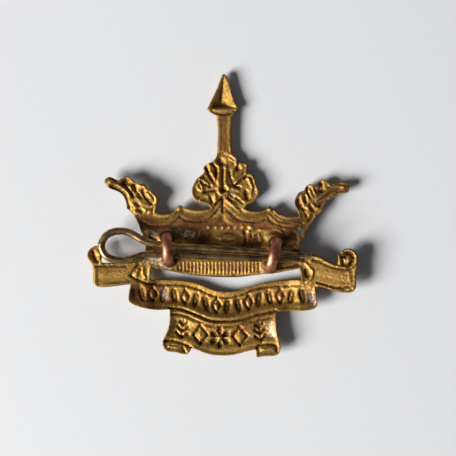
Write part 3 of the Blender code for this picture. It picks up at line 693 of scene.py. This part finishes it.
# %% Strike the plaque
PLAQUE_RIM = [(-8.6, -16.9), (-7.0, -17.0), (-5.2, -17.6), (-3.5, -18.4), (-2.0, -18.9), (0.0, -19.05),
              (2.0, -18.95), (4.0, -18.45), (6.0, -17.85), (8.2, -17.45)]
sink(0.28, 0.9, [(-8.4, -17.3), (-6.8, -17.5), (-3.6, -18.8), (0.0, -19.4), (4.0, -18.8), (8.3, -17.9),
                 (8.6, -19.5), (9.0, -21.2), (5.6, -21.8), (3.5, -22.4), (0.0, -22.9), (-3.5, -22.4),
                 (-6.0, -21.4), (-9.2, -20.8)])
engrave(-0.26, 0.4, PLAQUE_RIM)
engrave(0.18, 0.45, [(across, height + 0.45) for across, height in PLAQUE_RIM[:-2]])
engrave(-0.42, 0.5, [(-9.9, -21.35), (-8.5, -21.4), (-7.0, -21.8), (-5.2, -22.6)])
engrave(-0.34, 0.5, [(5.8, -22.7), (6.2, -22.15), (7.5, -22.0), (8.9, -22.1)], [(9.1, -22.3), (9.2, -23.2)])
engrave(-0.25, 0.4, [(-6.8, -22.3), (-6.5, -23.2)])
engrave(0.22, 0.5, [(-9.2, -22.3), (-7.4, -22.6)], [(-6.2, -22.9), (-5.9, -23.3)],
        [(6.6, -22.9), (8.4, -22.7)])
sprig(-6.8, -19.5, 8, 3.3, 0.46)
lozenge(-3.8, -20.4, 1.2, 1.6, 0.50)
flower(-0.5, -20.9, 1.85, 6, 0.52)
lozenge(2.9, -20.6, 1.2, 1.6, 0.50)
sprig(6.4, -19.9, -8, 3.4, 0.48)
print("plaque struck")

# %% [markdown]
# ### Age, and painted light and shade
# Old brass isn't even. Dirt and lacquer stay in the hollows, solder has run along the edge of the
# opening, and copper salts have bloomed green where the pin keeps damp. Besides these, shade under
# the arches and in the creases, highlights on the jewels and beads, and a sheen on the scroll are
# painted. Each is painted on the points as a mask, because it belongs to a place on the badge and
# not to a pattern. A stroke never weakens one that is there already, so the order of the strokes
# doesn't matter.

# %% Solder and green salts
paint("solder", 1.0, 1.3, [(-13.3, -8.0), (-11.6, -8.3), (-10.3, -8.6), (-9.0, -9.0)],
      [(-12.4, -7.3), (-10.2, -7.7)])
paint("solder", 0.8, 0.6, [(-11.1, -5.6), (-10.8, -5.8)], [(-7.2, -7.6), (-6.6, -7.6)],
      [(13.5, -3.3), (13.9, -3.5)])
paint("solder", 0.7, 0.45, *[[(-8.6 + 0.8 * step, -2.3 - 0.5 * (step * 3 % 4))] * 2 for step in range(7)])
paint("solder", 0.95, 1.5, [(-8.6, -3.2), (-7.6, -2.6), (-6.4, -3.4)],
      [(-6.2, -2.8), (-5.4, -3.6), (-4.8, -3.2)])
paint("verdigris", 1.0, 1.5, [(-13.1, -2.6), (-12.2, -2.9), (-11.4, -3.2)], [(12.9, -2.3), (13.6, -2.8)])
paint("verdigris", 0.9, 1.2, [(12.6, -2.9), (13.4, -3.4)], [(6.2, -18.9), (6.9, -19.3)],
      [(-12.7, -3.7), (-12.5, -4.3)])
print("solder and verdigris painted")

# %% Brown and red tarnish, a silvery smear and painted sheen
paint("browned", 1.0, 3.4, [(-13.6, -1.4), (-10.0, -2.6), (-6.0, -1.6), (0.0, -1.4), (6.0, -1.7),
                            (10.0, -2.2), (13.4, -1.6)])
paint("browned", 0.8, 3.0, [(-5.4, -4.2), (0.8, -4.4), (6.6, -4.6)], [(9.0, -3.6), (12.4, -4.8)],
      [(-15.0, -12.9), (-12.5, -13.6)])
paint("browned", 0.7, 2.2, [(0.2, 10.6), (0.1, 13.5), (0.1, 16.8)], [(0.4, 2.6), (0.2, 0.6)],
      [(3.4, -18.8), (7.2, -18.4)])
paint("toned", 1.0, 2.2, [(-12.0, -2.4), (-9.5, -2.6)], [(-9.6, -3.0), (-9.7, -5.4)],
      [(-10.4, -12.6), (-9.4, -14.6)])
paint("toned", 0.6, 1.8, [(16.4, 2.4), (14.8, 0.6)], [(8.6, -13.2), (10.6, -13.6)],
      [(3.0, -17.9), (7.6, -17.2)])
paint("toned", 0.9, 1.3, [(20.8, 4.7), (19.0, 4.3), (17.2, 3.2)], [(16.7, 5.2), (16.4, 4.9)],
      [(13.2, 3.6), (12.9, 1.6)])
paint("toned", 0.8, 1.6, [(-22.4, -6.2), (-21.7, -7.8)], [(3.6, -19.8), (5.2, -19.6)],
      [(-13.4, -12.2), (-11.6, -12.2)])
paint("toned", 0.4, 1.6, [(-1.0, 9.2), (0.8, 8.9)], [(-2.0, 17.8), (2.0, 17.8)],
      [(10.6, -8.6), (12.8, -8.5)])
paint("toned", 0.6, 1.6, [(4.9, 4.9), (4.6, 3.2)], [(-4.6, 4.6), (-4.3, 3.6)], [(-6.6, -8.8), (6.4, -8.9)])
paint("toned", 0.9, 1.5, [(4.4, -3.2), (4.6, -4.6)], [(-3.4, -3.6), (-3.0, -4.4)],
      [(-4.6, -2.4), (-3.6, -2.8)])
# painted sheen on both ends of the scroll and on the plaque's right end
paint("silvered", 0.8, 1.6, [(-10.2, -13.0), (-9.6, -14.2)], [(8.0, -18.2), (8.4, -20.4)],
      [(14.9, -13.4), (15.4, -14.8)])
# a silvery smear beside the solder on the circlet
paint("silvered", 0.45, 2.0, [(-8.0, -3.0), (-5.4, -3.2)])
print("tarnish painted")

# %% Painted highlights, and coarse grain
# painted highlights on the beads, the jewels, the lozenge and the head's band
highlit_beads = [[(bead, -2.1), (bead + 0.05, -2.1)] for bead in (-2.4, -1.1, 0.0, 1.1, 2.2, 3.35, 4.8)]
paint("bright", 0.9, 0.55, *highlit_beads)
paint("bright", 0.7, 0.6, [(-0.9, -4.6), (0.8, -4.95), (2.3, -4.7)], [(0.0, -4.0), (2.0, -3.9)],
      [(6.8, -5.3), (7.3, -5.2)])
paint("bright", 0.45, 1.9, [(-1.4, -4.1), (0.8, -4.0), (2.9, -4.1)], [(7.4, -3.4), (8.2, -4.2)])
paint("bright", 0.8, 0.9, [(7.1, -4.9), (7.4, -5.4)], [(12.5, -5.5), (12.8, -5.6)],
      [(4.6, -2.2), (5.0, -2.2)])
paint("bright", 0.5, 0.5, [(5.4, -3.1), (6.2, -2.6), (7.6, -2.5), (9.0, -2.5)],
      [(9.6, -5.4), (11.6, -5.7), (12.9, -5.2)])
paint("bright", 0.4, 0.6, [(1.2, 18.5), (2.3, 18.6)], [(5.0, 4.8), (5.1, 3.9)])
paint("bright", 0.9, 0.5, [(4.3, -2.7), (4.5, -3.1)], [(3.3, -3.4), (3.4, -3.9)],
      [(6.3, -3.6), (6.5, -4.4)])
paint("coarse", 1.0, 1.5, [(0.9, 22.6), (1.2, 20.6), (1.3, 19.2)], [(-20.6, -10.2), (-16.5, -10.0)],
      [(16.6, -9.8), (21.4, -10.8)])
paint("coarse", 0.8, 2.2, [(-13.4, -0.7), (-9.0, -1.0), (-4.0, -0.4), (0.0, 1.0), (4.0, -0.4), (9.0, -0.8),
                           (13.2, -1.0)])
paint("coarse", 0.9, 3.0, [(-8.0, -3.4), (-4.6, -3.4)], [(-3.0, -20.6), (3.0, -20.8)],
      [(-13.4, -13.4), (13.4, -13.6)])
print("rubbed spots painted")

# %% Painted shade, darker tone, and darkening along every edge
# painted shade on the circlet's field, which lies in the arches' shade; darker patches at the scroll's ends
# and on the plaque
paint("sooty", 0.8, 2.4, [(-8.3, -3.4), (-5.4, -3.4)], [(-2.6, -3.2), (-3.4, -4.4)],
      [(9.6, -3.5), (12.0, -3.6)])
paint("sooty", 0.8, 2.2, [(-12.3, -3.4), (-12.4, -5.0)], [(-15.3, -12.4), (-15.3, -13.8)],
      [(13.4, -13.4), (15.2, -15.0)])
paint("sooty", 0.6, 1.8, [(9.6, -5.0), (13.0, -6.4)], [(3.6, -5.4), (6.4, -5.0)],
      [(5.8, -18.5), (6.6, -19.8)])
# painted shade in the creases of the lozenge and beside the jewels
paint("sooty", 1.0, 0.45, [(-1.5, -3.9), (0.8, -3.2), (3.1, -3.9)],
      [(-1.3, -4.25), (0.8, -4.5), (2.7, -4.2)])
paint("sooty", 1.0, 0.55, [(3.6, -3.0), (3.9, -4.2), (3.6, -5.4)], [(5.5, -2.8), (5.9, -4.4)],
      [(9.4, -3.0), (9.7, -4.4)])
# a darker shaft and head, with painted shade on the head's left side
paint("sooty", 0.3, 2.6, [(0.1, 11.0), (0.1, 16.6)], [(0.6, 23.4), (0.9, 19.2)],
      [(-1.4, 19.6), (-0.4, 21.0)])
# painted shade along the arches
paint("sooty", 0.75, 1.6, [(-13.6, -0.4), (-11.0, -1.0), (-8.4, -0.6), (-7.2, 0.4)],
      [(-6.6, -0.1), (-4.2, -0.3), (-1.8, 0.6)])
paint("sooty", 0.75, 1.6, [(1.6, 0.8), (4.2, -0.3), (7.6, 0.2)], [(8.6, -0.2), (10.6, -1.1), (13.2, -0.8)])
# the leaves a little darker
paint("sooty", 0.25, 3.2, [(-18.8, 5.2), (-15.6, 3.2), (-13.0, 2.2)],
      [(19.8, 4.4), (16.2, 3.2), (14.2, 1.2)])
# darker along every edge
EDGE_DARKENING, EDGE_DARKENING_WIDTH = 0.55, 0.45
marks["sooty"] = np.maximum(marks["sooty"], EDGE_DARKENING * (1.0 - smooth_step(inside / EDGE_DARKENING_WIDTH)))
print({name: int((mark > 0.5).sum()) for name, mark in marks.items()})

# %% [markdown]
# ## Press the sheet
# The strokes are added to a rim that isn't level: the badge is bowed to fit a cap, so both ribbon
# ends rise, and years of wear have lifted the plaque, bent back the left leaf, and let the spear
# and the scroll sink a little. Each bend fades in over a few millimetres, so that it leaves no
# crease. Nothing may go deeper than the sheet is thick, or its front would sink into the table.
#
# The copper loops stand on level pads. The front follows the back one thickness lower, which one
# extrusion gives, and the strokes' hollows are stored on the points for the finish to read.

# %% Press
RIM_HEIGHT = 2.2
END_RISE = 0.9  # of the ribbons' ends over the crown
PLAQUE_RISE = 0.4  # of the plaque over the crown
LEAF_RISE = 0.65  # how far the left leaf is bent back
SPEAR_FALL = 0.5  # of the spear below the crown
SCROLL_SAG = 0.75  # of the scroll below the opening
half_badge = (high.x - low.x) / 2 / MM
bow = END_RISE * (x / half_badge) ** 2 * smooth_step(-y / 5.0)
plaque_lift = PLAQUE_RISE * smooth_step((-y - 11.0) / 6.0)
bent_leaf = LEAF_RISE * smooth_step((-x - 8.0) / 4.0) * smooth_step(y / 3.0)
fall = SPEAR_FALL * smooth_step((y - 1.5) / 9.1)
scroll = smooth_step((13.5 - np.abs(x)) / 3.0) * smooth_step(-y - 9.8) * smooth_step((y + 18.5) / 4.0)
sag = SCROLL_SAG * scroll
off_level = bow + plaque_lift + bent_leaf - fall - sag
heights = RIM_HEIGHT + off_level + relief
print("rim from", round(off_level.min(), 2), "to", round(off_level.max(), 2), "mm off level")

# %% Round the edge, level the pads and keep off the table
EDGE_RADIUS = 0.22
EDGE_DROP = 0.6  # of the radius
PAD_RADIUS, PAD_SLOPE = 2.1, 0.9
EASE = 0.2  # a stroke that goes too deep fades out within this height
heights -= EDGE_RADIUS * EDGE_DROP * (1.0 - smooth_step(inside / EDGE_RADIUS))
for name in (name for name in nodes if name.endswith("braze")):
    to_foot = np.linalg.norm(points - np.array(middle_of(name).xy) / MM, axis=1)
    level = smooth_step((PAD_RADIUS - to_foot) / PAD_SLOPE)
    heights = heights * (1.0 - level) + RIM_HEIGHT * level
deepest = SHEET_THICKNESS / MM
too_deep = heights < deepest + EASE
heights = np.where(too_deep, deepest + EASE * np.exp((heights - deepest - EASE) / EASE), heights)
print(int(too_deep.sum()), "points eased off the table")

# %% Smooth, and find the hollows
WIDE_ROUNDS, WIDE_DEPTH = 30, 0.22
FINE_ROUNDS, FINE_DEPTH = 5, 0.055


def eased_over_neighbours(values, rounds):
    """Each point's value averaged with its neighbours', over and over."""
    count = np.bincount(beside.ravel(), minlength=len(values)) + 1
    for _ in range(rounds):
        total = values.copy()
        np.add.at(total, beside[:, 0], values[beside[:, 1]])
        np.add.at(total, beside[:, 1], values[beside[:, 0]])
        values = total / count
    return values


heights = eased_over_neighbours(heights, 1)
wide_hollow = (eased_over_neighbours(heights, WIDE_ROUNDS) - heights) / WIDE_DEPTH
fine_hollow = (eased_over_neighbours(heights, FINE_ROUNDS) - heights) / FINE_DEPTH
hollow = np.clip(wide_hollow, -1.0, 1.0) * 0.5 + np.clip(fine_hollow, -1.0, 1.0) * 0.6
marks["hollow"] = np.clip(hollow * 0.5 + 0.5, 0.0, 1.0)
print("heights from", round(heights.min(), 2), "to", round(heights.max(), 2), "mm")

# %% Bend the blank to the die and give it its front
for name, mark in marks.items():
    layer = sheet.verts.layers.float.new(name)
    for vert, value in zip(sheet.verts, mark):
        vert[layer] = value
for vert, height in zip(sheet.verts, heights):
    vert.co.z = height * MM
front = bmesh.ops.extrude_face_region(sheet, geom=sheet.faces[:], use_keep_orig=True)["geom"]
lowered = [item for item in front if isinstance(item, bmesh.types.BMVert)]
bmesh.ops.translate(sheet, verts=lowered, vec=(0.0, 0.0, -SHEET_THICKNESS))
bmesh.ops.recalc_face_normals(sheet, faces=sheet.faces)
print("pressed sheet:", len(sheet.faces), "faces")

# %% [markdown]
# ## Brass
# Struck brass is a metal with a soft, grainy shine. Its colour comes from four things laid over
# each other: slow changes of tone from place to place, brown lacquer and dirt together with painted
# shade in the hollows and the crests rubbed clean, fine dark specks and light specks that are
# painted glints, and the painted marks. Solder and green salts break up into flakes. A fine bump
# gives the grain of the old die.

# %% Struck brass finish
brass = Finish("struck_brass")
sunk = brass.attribute("hollow") * (1 - brass.attribute("browned") * 0.22)
grain = brass.noise(0.36 * MM, 4.0, 0.7)
speck = brass.noise(0.48 * MM, 3.0, 0.65, distortion=0.4)
blotch = brass.noise(2.6 * MM, 4.0, 0.6)
drift = brass.noise(9.0 * MM, 2.0)
colour = brass.blend(drift.ramp(0.35, 0.65), srgb(202, 162, 82), srgb(186, 146, 76))
colour = brass.blend(blotch.ramp(0.42, 0.72) * 0.6, colour, srgb(160, 110, 70))
# brown lacquer and dirt, with painted shade, darken the hollows
colour = brass.blend((sunk + grain * 0.4 - 0.2).ramp(0.50, 0.92) * 0.9, colour, srgb(76, 46, 30))
colour = brass.blend((1 - sunk).ramp(0.54, 0.88) * 0.30, colour, srgb(208, 174, 106))
colour = brass.blend(speck.ramp(0.52, 0.66) * 0.5, colour, srgb(100, 64, 40))
# painted glints: the light specks
colour = brass.blend((1 - speck).ramp(0.56, 0.68) * 0.30, colour, srgb(220, 184, 110))
colour = brass.blend(brass.attribute("browned") * (blotch * 0.9 + 0.4), colour, srgb(138, 90, 56))
colour = brass.blend(brass.attribute("toned") * (grain * 0.7 + 0.2), colour, srgb(158, 102, 76))
# darker tone, and painted shade under the arches, in creases and on shaded sides
colour = brass.blend(brass.attribute("sooty") * (grain * 0.9 + 0.25), colour, srgb(66, 48, 42))
# a silvery smear by the solder, and painted sheen on the scroll and plaque
silver_and_sheen_share = brass.attribute("silvered") * (grain.ramp(0.48, 0.56) * 0.85 + 0.05)
colour = brass.blend(silver_and_sheen_share, colour, srgb(214, 208, 202))
# painted highlights on the beads and jewels
colour = brass.blend(brass.attribute("bright") * (speck * 1.2 + 0.2), colour, srgb(252, 214, 122))
solder_mask = (brass.attribute("solder") * (grain * 1.1 + speck * 0.5)).ramp(0.72, 0.84)
green_mask = (brass.attribute("verdigris") * (grain * 0.8 + speck * 0.8)).ramp(0.72, 0.86)
colour = brass.blend(solder_mask, colour, srgb(206, 202, 200))
colour = brass.blend(green_mask, colour, srgb(128, 168, 156))
brass.set("Base Color", colour)
brass.set("Metallic", (1 - green_mask * 0.9) * (1 - solder_mask * 0.25))
brass.set("Roughness", speck * 0.18 + 0.48 + brass.attribute("sooty") * 0.10)
coarse = brass.attribute("coarse") * 1.1 + 0.8
brass.bump(grain * coarse + speck, 0.8, 0.09 * MM)
print("brass nodes:", len(brass.nodes))

# %% Hand the sheet over


def finish_piece(name, shape, finish, body, slot, *replaced):
    """Makes an object of a bmesh, in its place, parents it to its body and hides the CAD parts it replaces.
    """
    mesh = bpy.data.meshes.new(name)
    shape.to_mesh(mesh)
    shape.free()
    mesh.shade_smooth()
    mesh.set_sharp_from_angle(angle=math.radians(62))
    piece = bpy.data.objects.new(name, mesh)
    piece.data.materials.append(finish.material)
    bpy.context.scene.collection.objects.link(piece)
    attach(piece, body)
    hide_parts(*replaced)
    print(name, "has", len(mesh.polygons), "faces")


finish_piece("struck_plate", sheet, brass, "badge", "struck_brass", "badge_plate")

# %% [markdown]
# ## Wire pieces
# The loops and the pin are wire, and wire is a sweep: its end face is extruded again and again,
# and each time laid at the next place on its route. The same sweep, with a place for each height
# and a smaller size each time, raises the mound of braze at a foot.

# %% Sweep


def sweep(sides, places):
    """A bar whose section is a circle of radius 1, laid at each place, with both ends closed."""
    bar = bmesh.new()
    bmesh.ops.create_circle(bar, cap_ends=True, segments=sides, radius=1.0)
    bmesh.ops.transform(bar, matrix=places[0], verts=bar.verts)
    end = bar.faces[:][0]
    for before, after in zip(places, places[1:]):
        made = bmesh.ops.extrude_face_region(bar, geom=[end])["geom"]
        end = next(item for item in made if isinstance(item, bmesh.types.BMFace))
        bmesh.ops.transform(bar, matrix=after @ before.inverted(), verts=end.verts)
    bmesh.ops.recalc_face_normals(bar, faces=bar.faces)
    return bar


def section(middle, forward, across, half_across, half_thick):
    """The place of a section: where it is, where the wire goes, and which way its wide side lies."""
    forward = forward.normalized()
    thick = forward.cross(across).normalized()
    wide = thick.cross(forward)
    turned = Matrix((wide, thick, forward)).transposed().to_4x4()
    return Matrix.Translation(middle) @ turned @ Matrix.Diagonal((half_across, half_thick, 1.0, 1.0))


def soften_ends(bar, width):
    """Rounds the sharp rim of each cut end."""
    ends = [face for face in bar.faces if len(face.verts) > 4]
    rims = list({edge for face in ends for edge in face.edges})
    bmesh.ops.bevel(bar, geom=rims, offset=width, offset_type="OFFSET", segments=2, profile=0.5,
                    affect="EDGES", material=-1)


def roughen(shape, amount, size, seed):
    """Moves each point a little along its normal, as hammering or flowing metal leaves it."""
    shape.normal_update()
    for vert in shape.verts:
        where = vert.co / size + Vector((seed, 0.0, 0.0))
        vert.co += vert.normal * noise.noise(where) * amount


print("sweep ready")

# %% [markdown]
# ## Copper loops
# Each lug is a short bar of flattened copper wire bent into a loop, with both feet brazed down.
# It leans a little, so its own direction is found from where its two feet stand in the frame.

# %% Copper finish
copper = Finish("lug_copper", Metallic=1.0)
smudge = copper.noise(1.3 * MM, 4.0, 0.6)
scratch = copper.noise(0.5 * MM, 3.0, stretch=(1.0, 3.0, 1.0))
copper_colour = copper.blend(smudge.ramp(0.35, 0.7), srgb(206, 142, 112), srgb(150, 94, 70))
copper_colour = copper.blend(scratch.ramp(0.55, 0.75) * 0.4, copper_colour, srgb(112, 66, 50))
copper.set("Base Color", copper_colour)
copper.set("Roughness", smudge * 0.25 + 0.34)
copper.bump(scratch, 0.35, 0.03 * MM)
print("copper nodes:", len(copper.nodes))

# %% Bend the loops
LUG_WIRE = 1.15 * MM
LUG_WIRE_ACROSS = 1.75 * MM
LUG_SIDES = 28
ARCH_STEPS = 26
SURFACE_SHARE = 0.985  # of the wire's size, which leaves room for its dents
pin_height = middle_of("cotter_pin").z
springing = pin_height + 0.25 * MM  # where the straight legs turn into the arch
up = Vector((0.0, 0.0, 1.0))
for number, side in enumerate(("left", "right")):
    upper, lower = (middle_of(f"{side}_lug_{end}_braze") for end in ("upper", "lower"))
    foot_height, top = (corner.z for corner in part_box(f"{side}_lug"))
    middle = ((upper + lower) / 2).to_2d().to_3d()
    outward = (upper - lower).to_2d().to_3d()
    foot_half = outward.length / 2
    outward.normalize()
    across = outward.cross(up)
    half = top - LUG_WIRE / 2 - springing
    rise = springing - foot_height
    loop_leg = [(foot_half + (half - foot_half) * share ** 2, foot_height + rise * share)
                for share in (0.0, 0.3, 0.6, 0.85)]
    route = [(out, height, up) for out, height in loop_leg]
    for step in range(ARCH_STEPS + 1):
        angle = math.pi * step / ARCH_STEPS
        forward = up * math.cos(angle) - outward * math.sin(angle)
        route.append((half * math.cos(angle), springing + half * math.sin(angle), forward))
    route += [(-out, height, -up) for out, height in reversed(loop_leg)]
    half_across, half_thick = (size / 2 * SURFACE_SHARE for size in (LUG_WIRE_ACROSS, LUG_WIRE))
    places = [section(middle + outward * out + up * height, forward, across, half_across, half_thick)
              for out, height, forward in route]
    loop = sweep(LUG_SIDES, places)
    roughen(loop, 0.02 * MM, 0.7 * MM, 3.0 + number)
    finish_piece(f"{side}_loop", loop, copper, "badge", "lug_copper", f"{side}_lug")

# %% [markdown]
# ## Braze
# Braze creeps up a foot and thins out over the sheet in a hollow curve, and it sets lumpy. So each
# mound is swept in rings that shrink as they rise, then roughened.

# %% Braze finish
braze = Finish("braze", Metallic=0.9)
flux = braze.noise(0.5 * MM, 4.0, 0.65)
braze_colour = braze.blend(flux.ramp(0.38, 0.66), srgb(124, 94, 66), srgb(78, 54, 42))
braze_colour = braze.blend(braze.noise(1.1 * MM).ramp(0.56, 0.7) * 0.6, braze_colour, srgb(176, 168, 154))
braze.set("Base Color", braze_colour)
braze.set("Roughness", flux * 0.3 + 0.42)
braze.bump(flux, 0.6, 0.06 * MM)
print("braze nodes:", len(braze.nodes))

# %% Raise the mounds
MOUND = ((0.0, 1.12), (0.07, 1.07), (0.17, 0.95), (0.30, 0.83), (0.45, 0.75), (0.60, 0.70), (0.66, 0.60))
MOUND_SINK = 0.04 * MM
MOUND_SIDES = 36
flatness = (LUG_WIRE_ACROSS - LUG_WIRE) / 2
for number, name in enumerate(sorted(node for node in nodes if node.endswith("braze"))):
    side = name.split("_")[0]
    lean = middle_of(f"{side}_lug_upper_braze") - middle_of(f"{side}_lug_lower_braze")
    turned = Matrix.Rotation(math.atan2(-lean.x, lean.y), 4, "Z")
    foot = middle_of(name)
    places = []
    for height, radius in MOUND:
        place = Matrix.Translation((foot.x, foot.y, (RIM_HEIGHT + height) * MM - MOUND_SINK)) @ turned
        places.append(place @ Matrix.Diagonal((radius * MM + flatness, radius * MM, 1.0, 1.0)))
    mound = sweep(MOUND_SIDES, places)
    roughen(mound, 0.09 * MM, 0.5 * MM, 11.0 + 5 * number)
    finish_piece(f"{name}_mound", mound, braze, "badge", "braze", name)

# %% [markdown]
# ## Split pin
# The pin is one brass wire bent double round an eye, and its two legs lie side by side through
# both loops and taper to their tips. Its route is drawn flat from the left loop, with the legs
# along X, then turned to the pin's slant and laid at its height.

# %% Pin finish
pin_brass = Finish("pin_brass", Metallic=1.0)
wear = pin_brass.noise(1.8 * MM, 4.0, 0.6)
drawn = pin_brass.noise(0.35 * MM, 3.0, stretch=(0.25, 1.0, 1.0))
pin_colour = pin_brass.blend(wear.ramp(0.40, 0.62), srgb(204, 170, 120), srgb(126, 100, 70))
pin_colour = pin_brass.blend(drawn.ramp(0.48, 0.62) * 0.6, pin_colour, srgb(84, 64, 48))
pin_brass.set("Base Color", pin_colour)
pin_brass.set("Roughness", wear * 0.2 + 0.26)
pin_brass.bump(drawn, 0.25, 0.02 * MM)
print("pin nodes:", len(pin_brass.nodes))

# %% Bend the pin
PIN_WIRE = 1.28
PIN_TIP = 0.78
LEG_GAP = 0.07
TAPER_START = 0.4  # share of a leg
EYE = [(-1.8, 0.85), (-2.8, 1.0), (-3.8, 1.25), (-4.85, 1.7), (-5.9, 2.25), (-6.9, 2.65), (-8.1, 2.8),
       (-9.4, 2.55), (-10.5, 1.95), (-11.1, 1.0), (-11.3, 0.1), (-10.95, -0.9), (-10.2, -1.65),
       (-9.0, -2.1), (-7.8, -2.2), (-6.65, -1.9), (-5.65, -1.6), (-4.7, -1.25), (-3.7, -0.97), (-2.7, -0.8),
       (-1.7, -0.72)]
LEG_LENGTHS = (24.3, 23.2)
PIN_SHARE = 0.99  # of the wire's size, which keeps the pin inside its box
PIN_SIDES = 24
slide = Vector(frame["joints"][0]["axis"])
slant = math.atan2(-slide.y, -slide.x)
pin_origin = Vector((-9.25 * MM, -5.95 * MM, pin_height))  # in the left loop


def leg(length, hand):
    """The knots of a leg from its tip to the left loop, each with its share of the wire's thickness."""
    for share in (1.0, 0.85, 0.7, 0.55, TAPER_START, 0.2, 0.05):
        thin = max(0.0, (share - TAPER_START) / (1 - TAPER_START))
        thickness = PIN_WIRE - (PIN_WIRE - PIN_TIP) * thin
        yield share * length, hand * (thickness + LEG_GAP) / 2, thickness


upper_leg = list(leg(LEG_LENGTHS[0], 1))
lower_leg = list(leg(LEG_LENGTHS[1], -1))[::-1]
knots = upper_leg + [(along, side, PIN_WIRE) for along, side in EYE] + lower_leg
pin_line = smooth_line(knots, 4) * MM
pin_places = []
placed = Matrix.Translation(pin_origin) @ Matrix.Rotation(slant, 4, "Z")
for before, here, after in zip([pin_line[0], *pin_line[:-1]], pin_line, [*pin_line[1:], pin_line[-1]]):
    forward = Vector((*(after - before)[:2], 0.0))
    half = here[2] / 2 * PIN_SHARE
    pin_places.append(placed @ section(Vector((*here[:2], 0.0)), forward, up, half, half))
pin = sweep(PIN_SIDES, pin_places)
soften_ends(pin, 0.10 * MM)
finish_piece("split_pin", pin, pin_brass, "pin", "pin_brass", "cotter_pin")
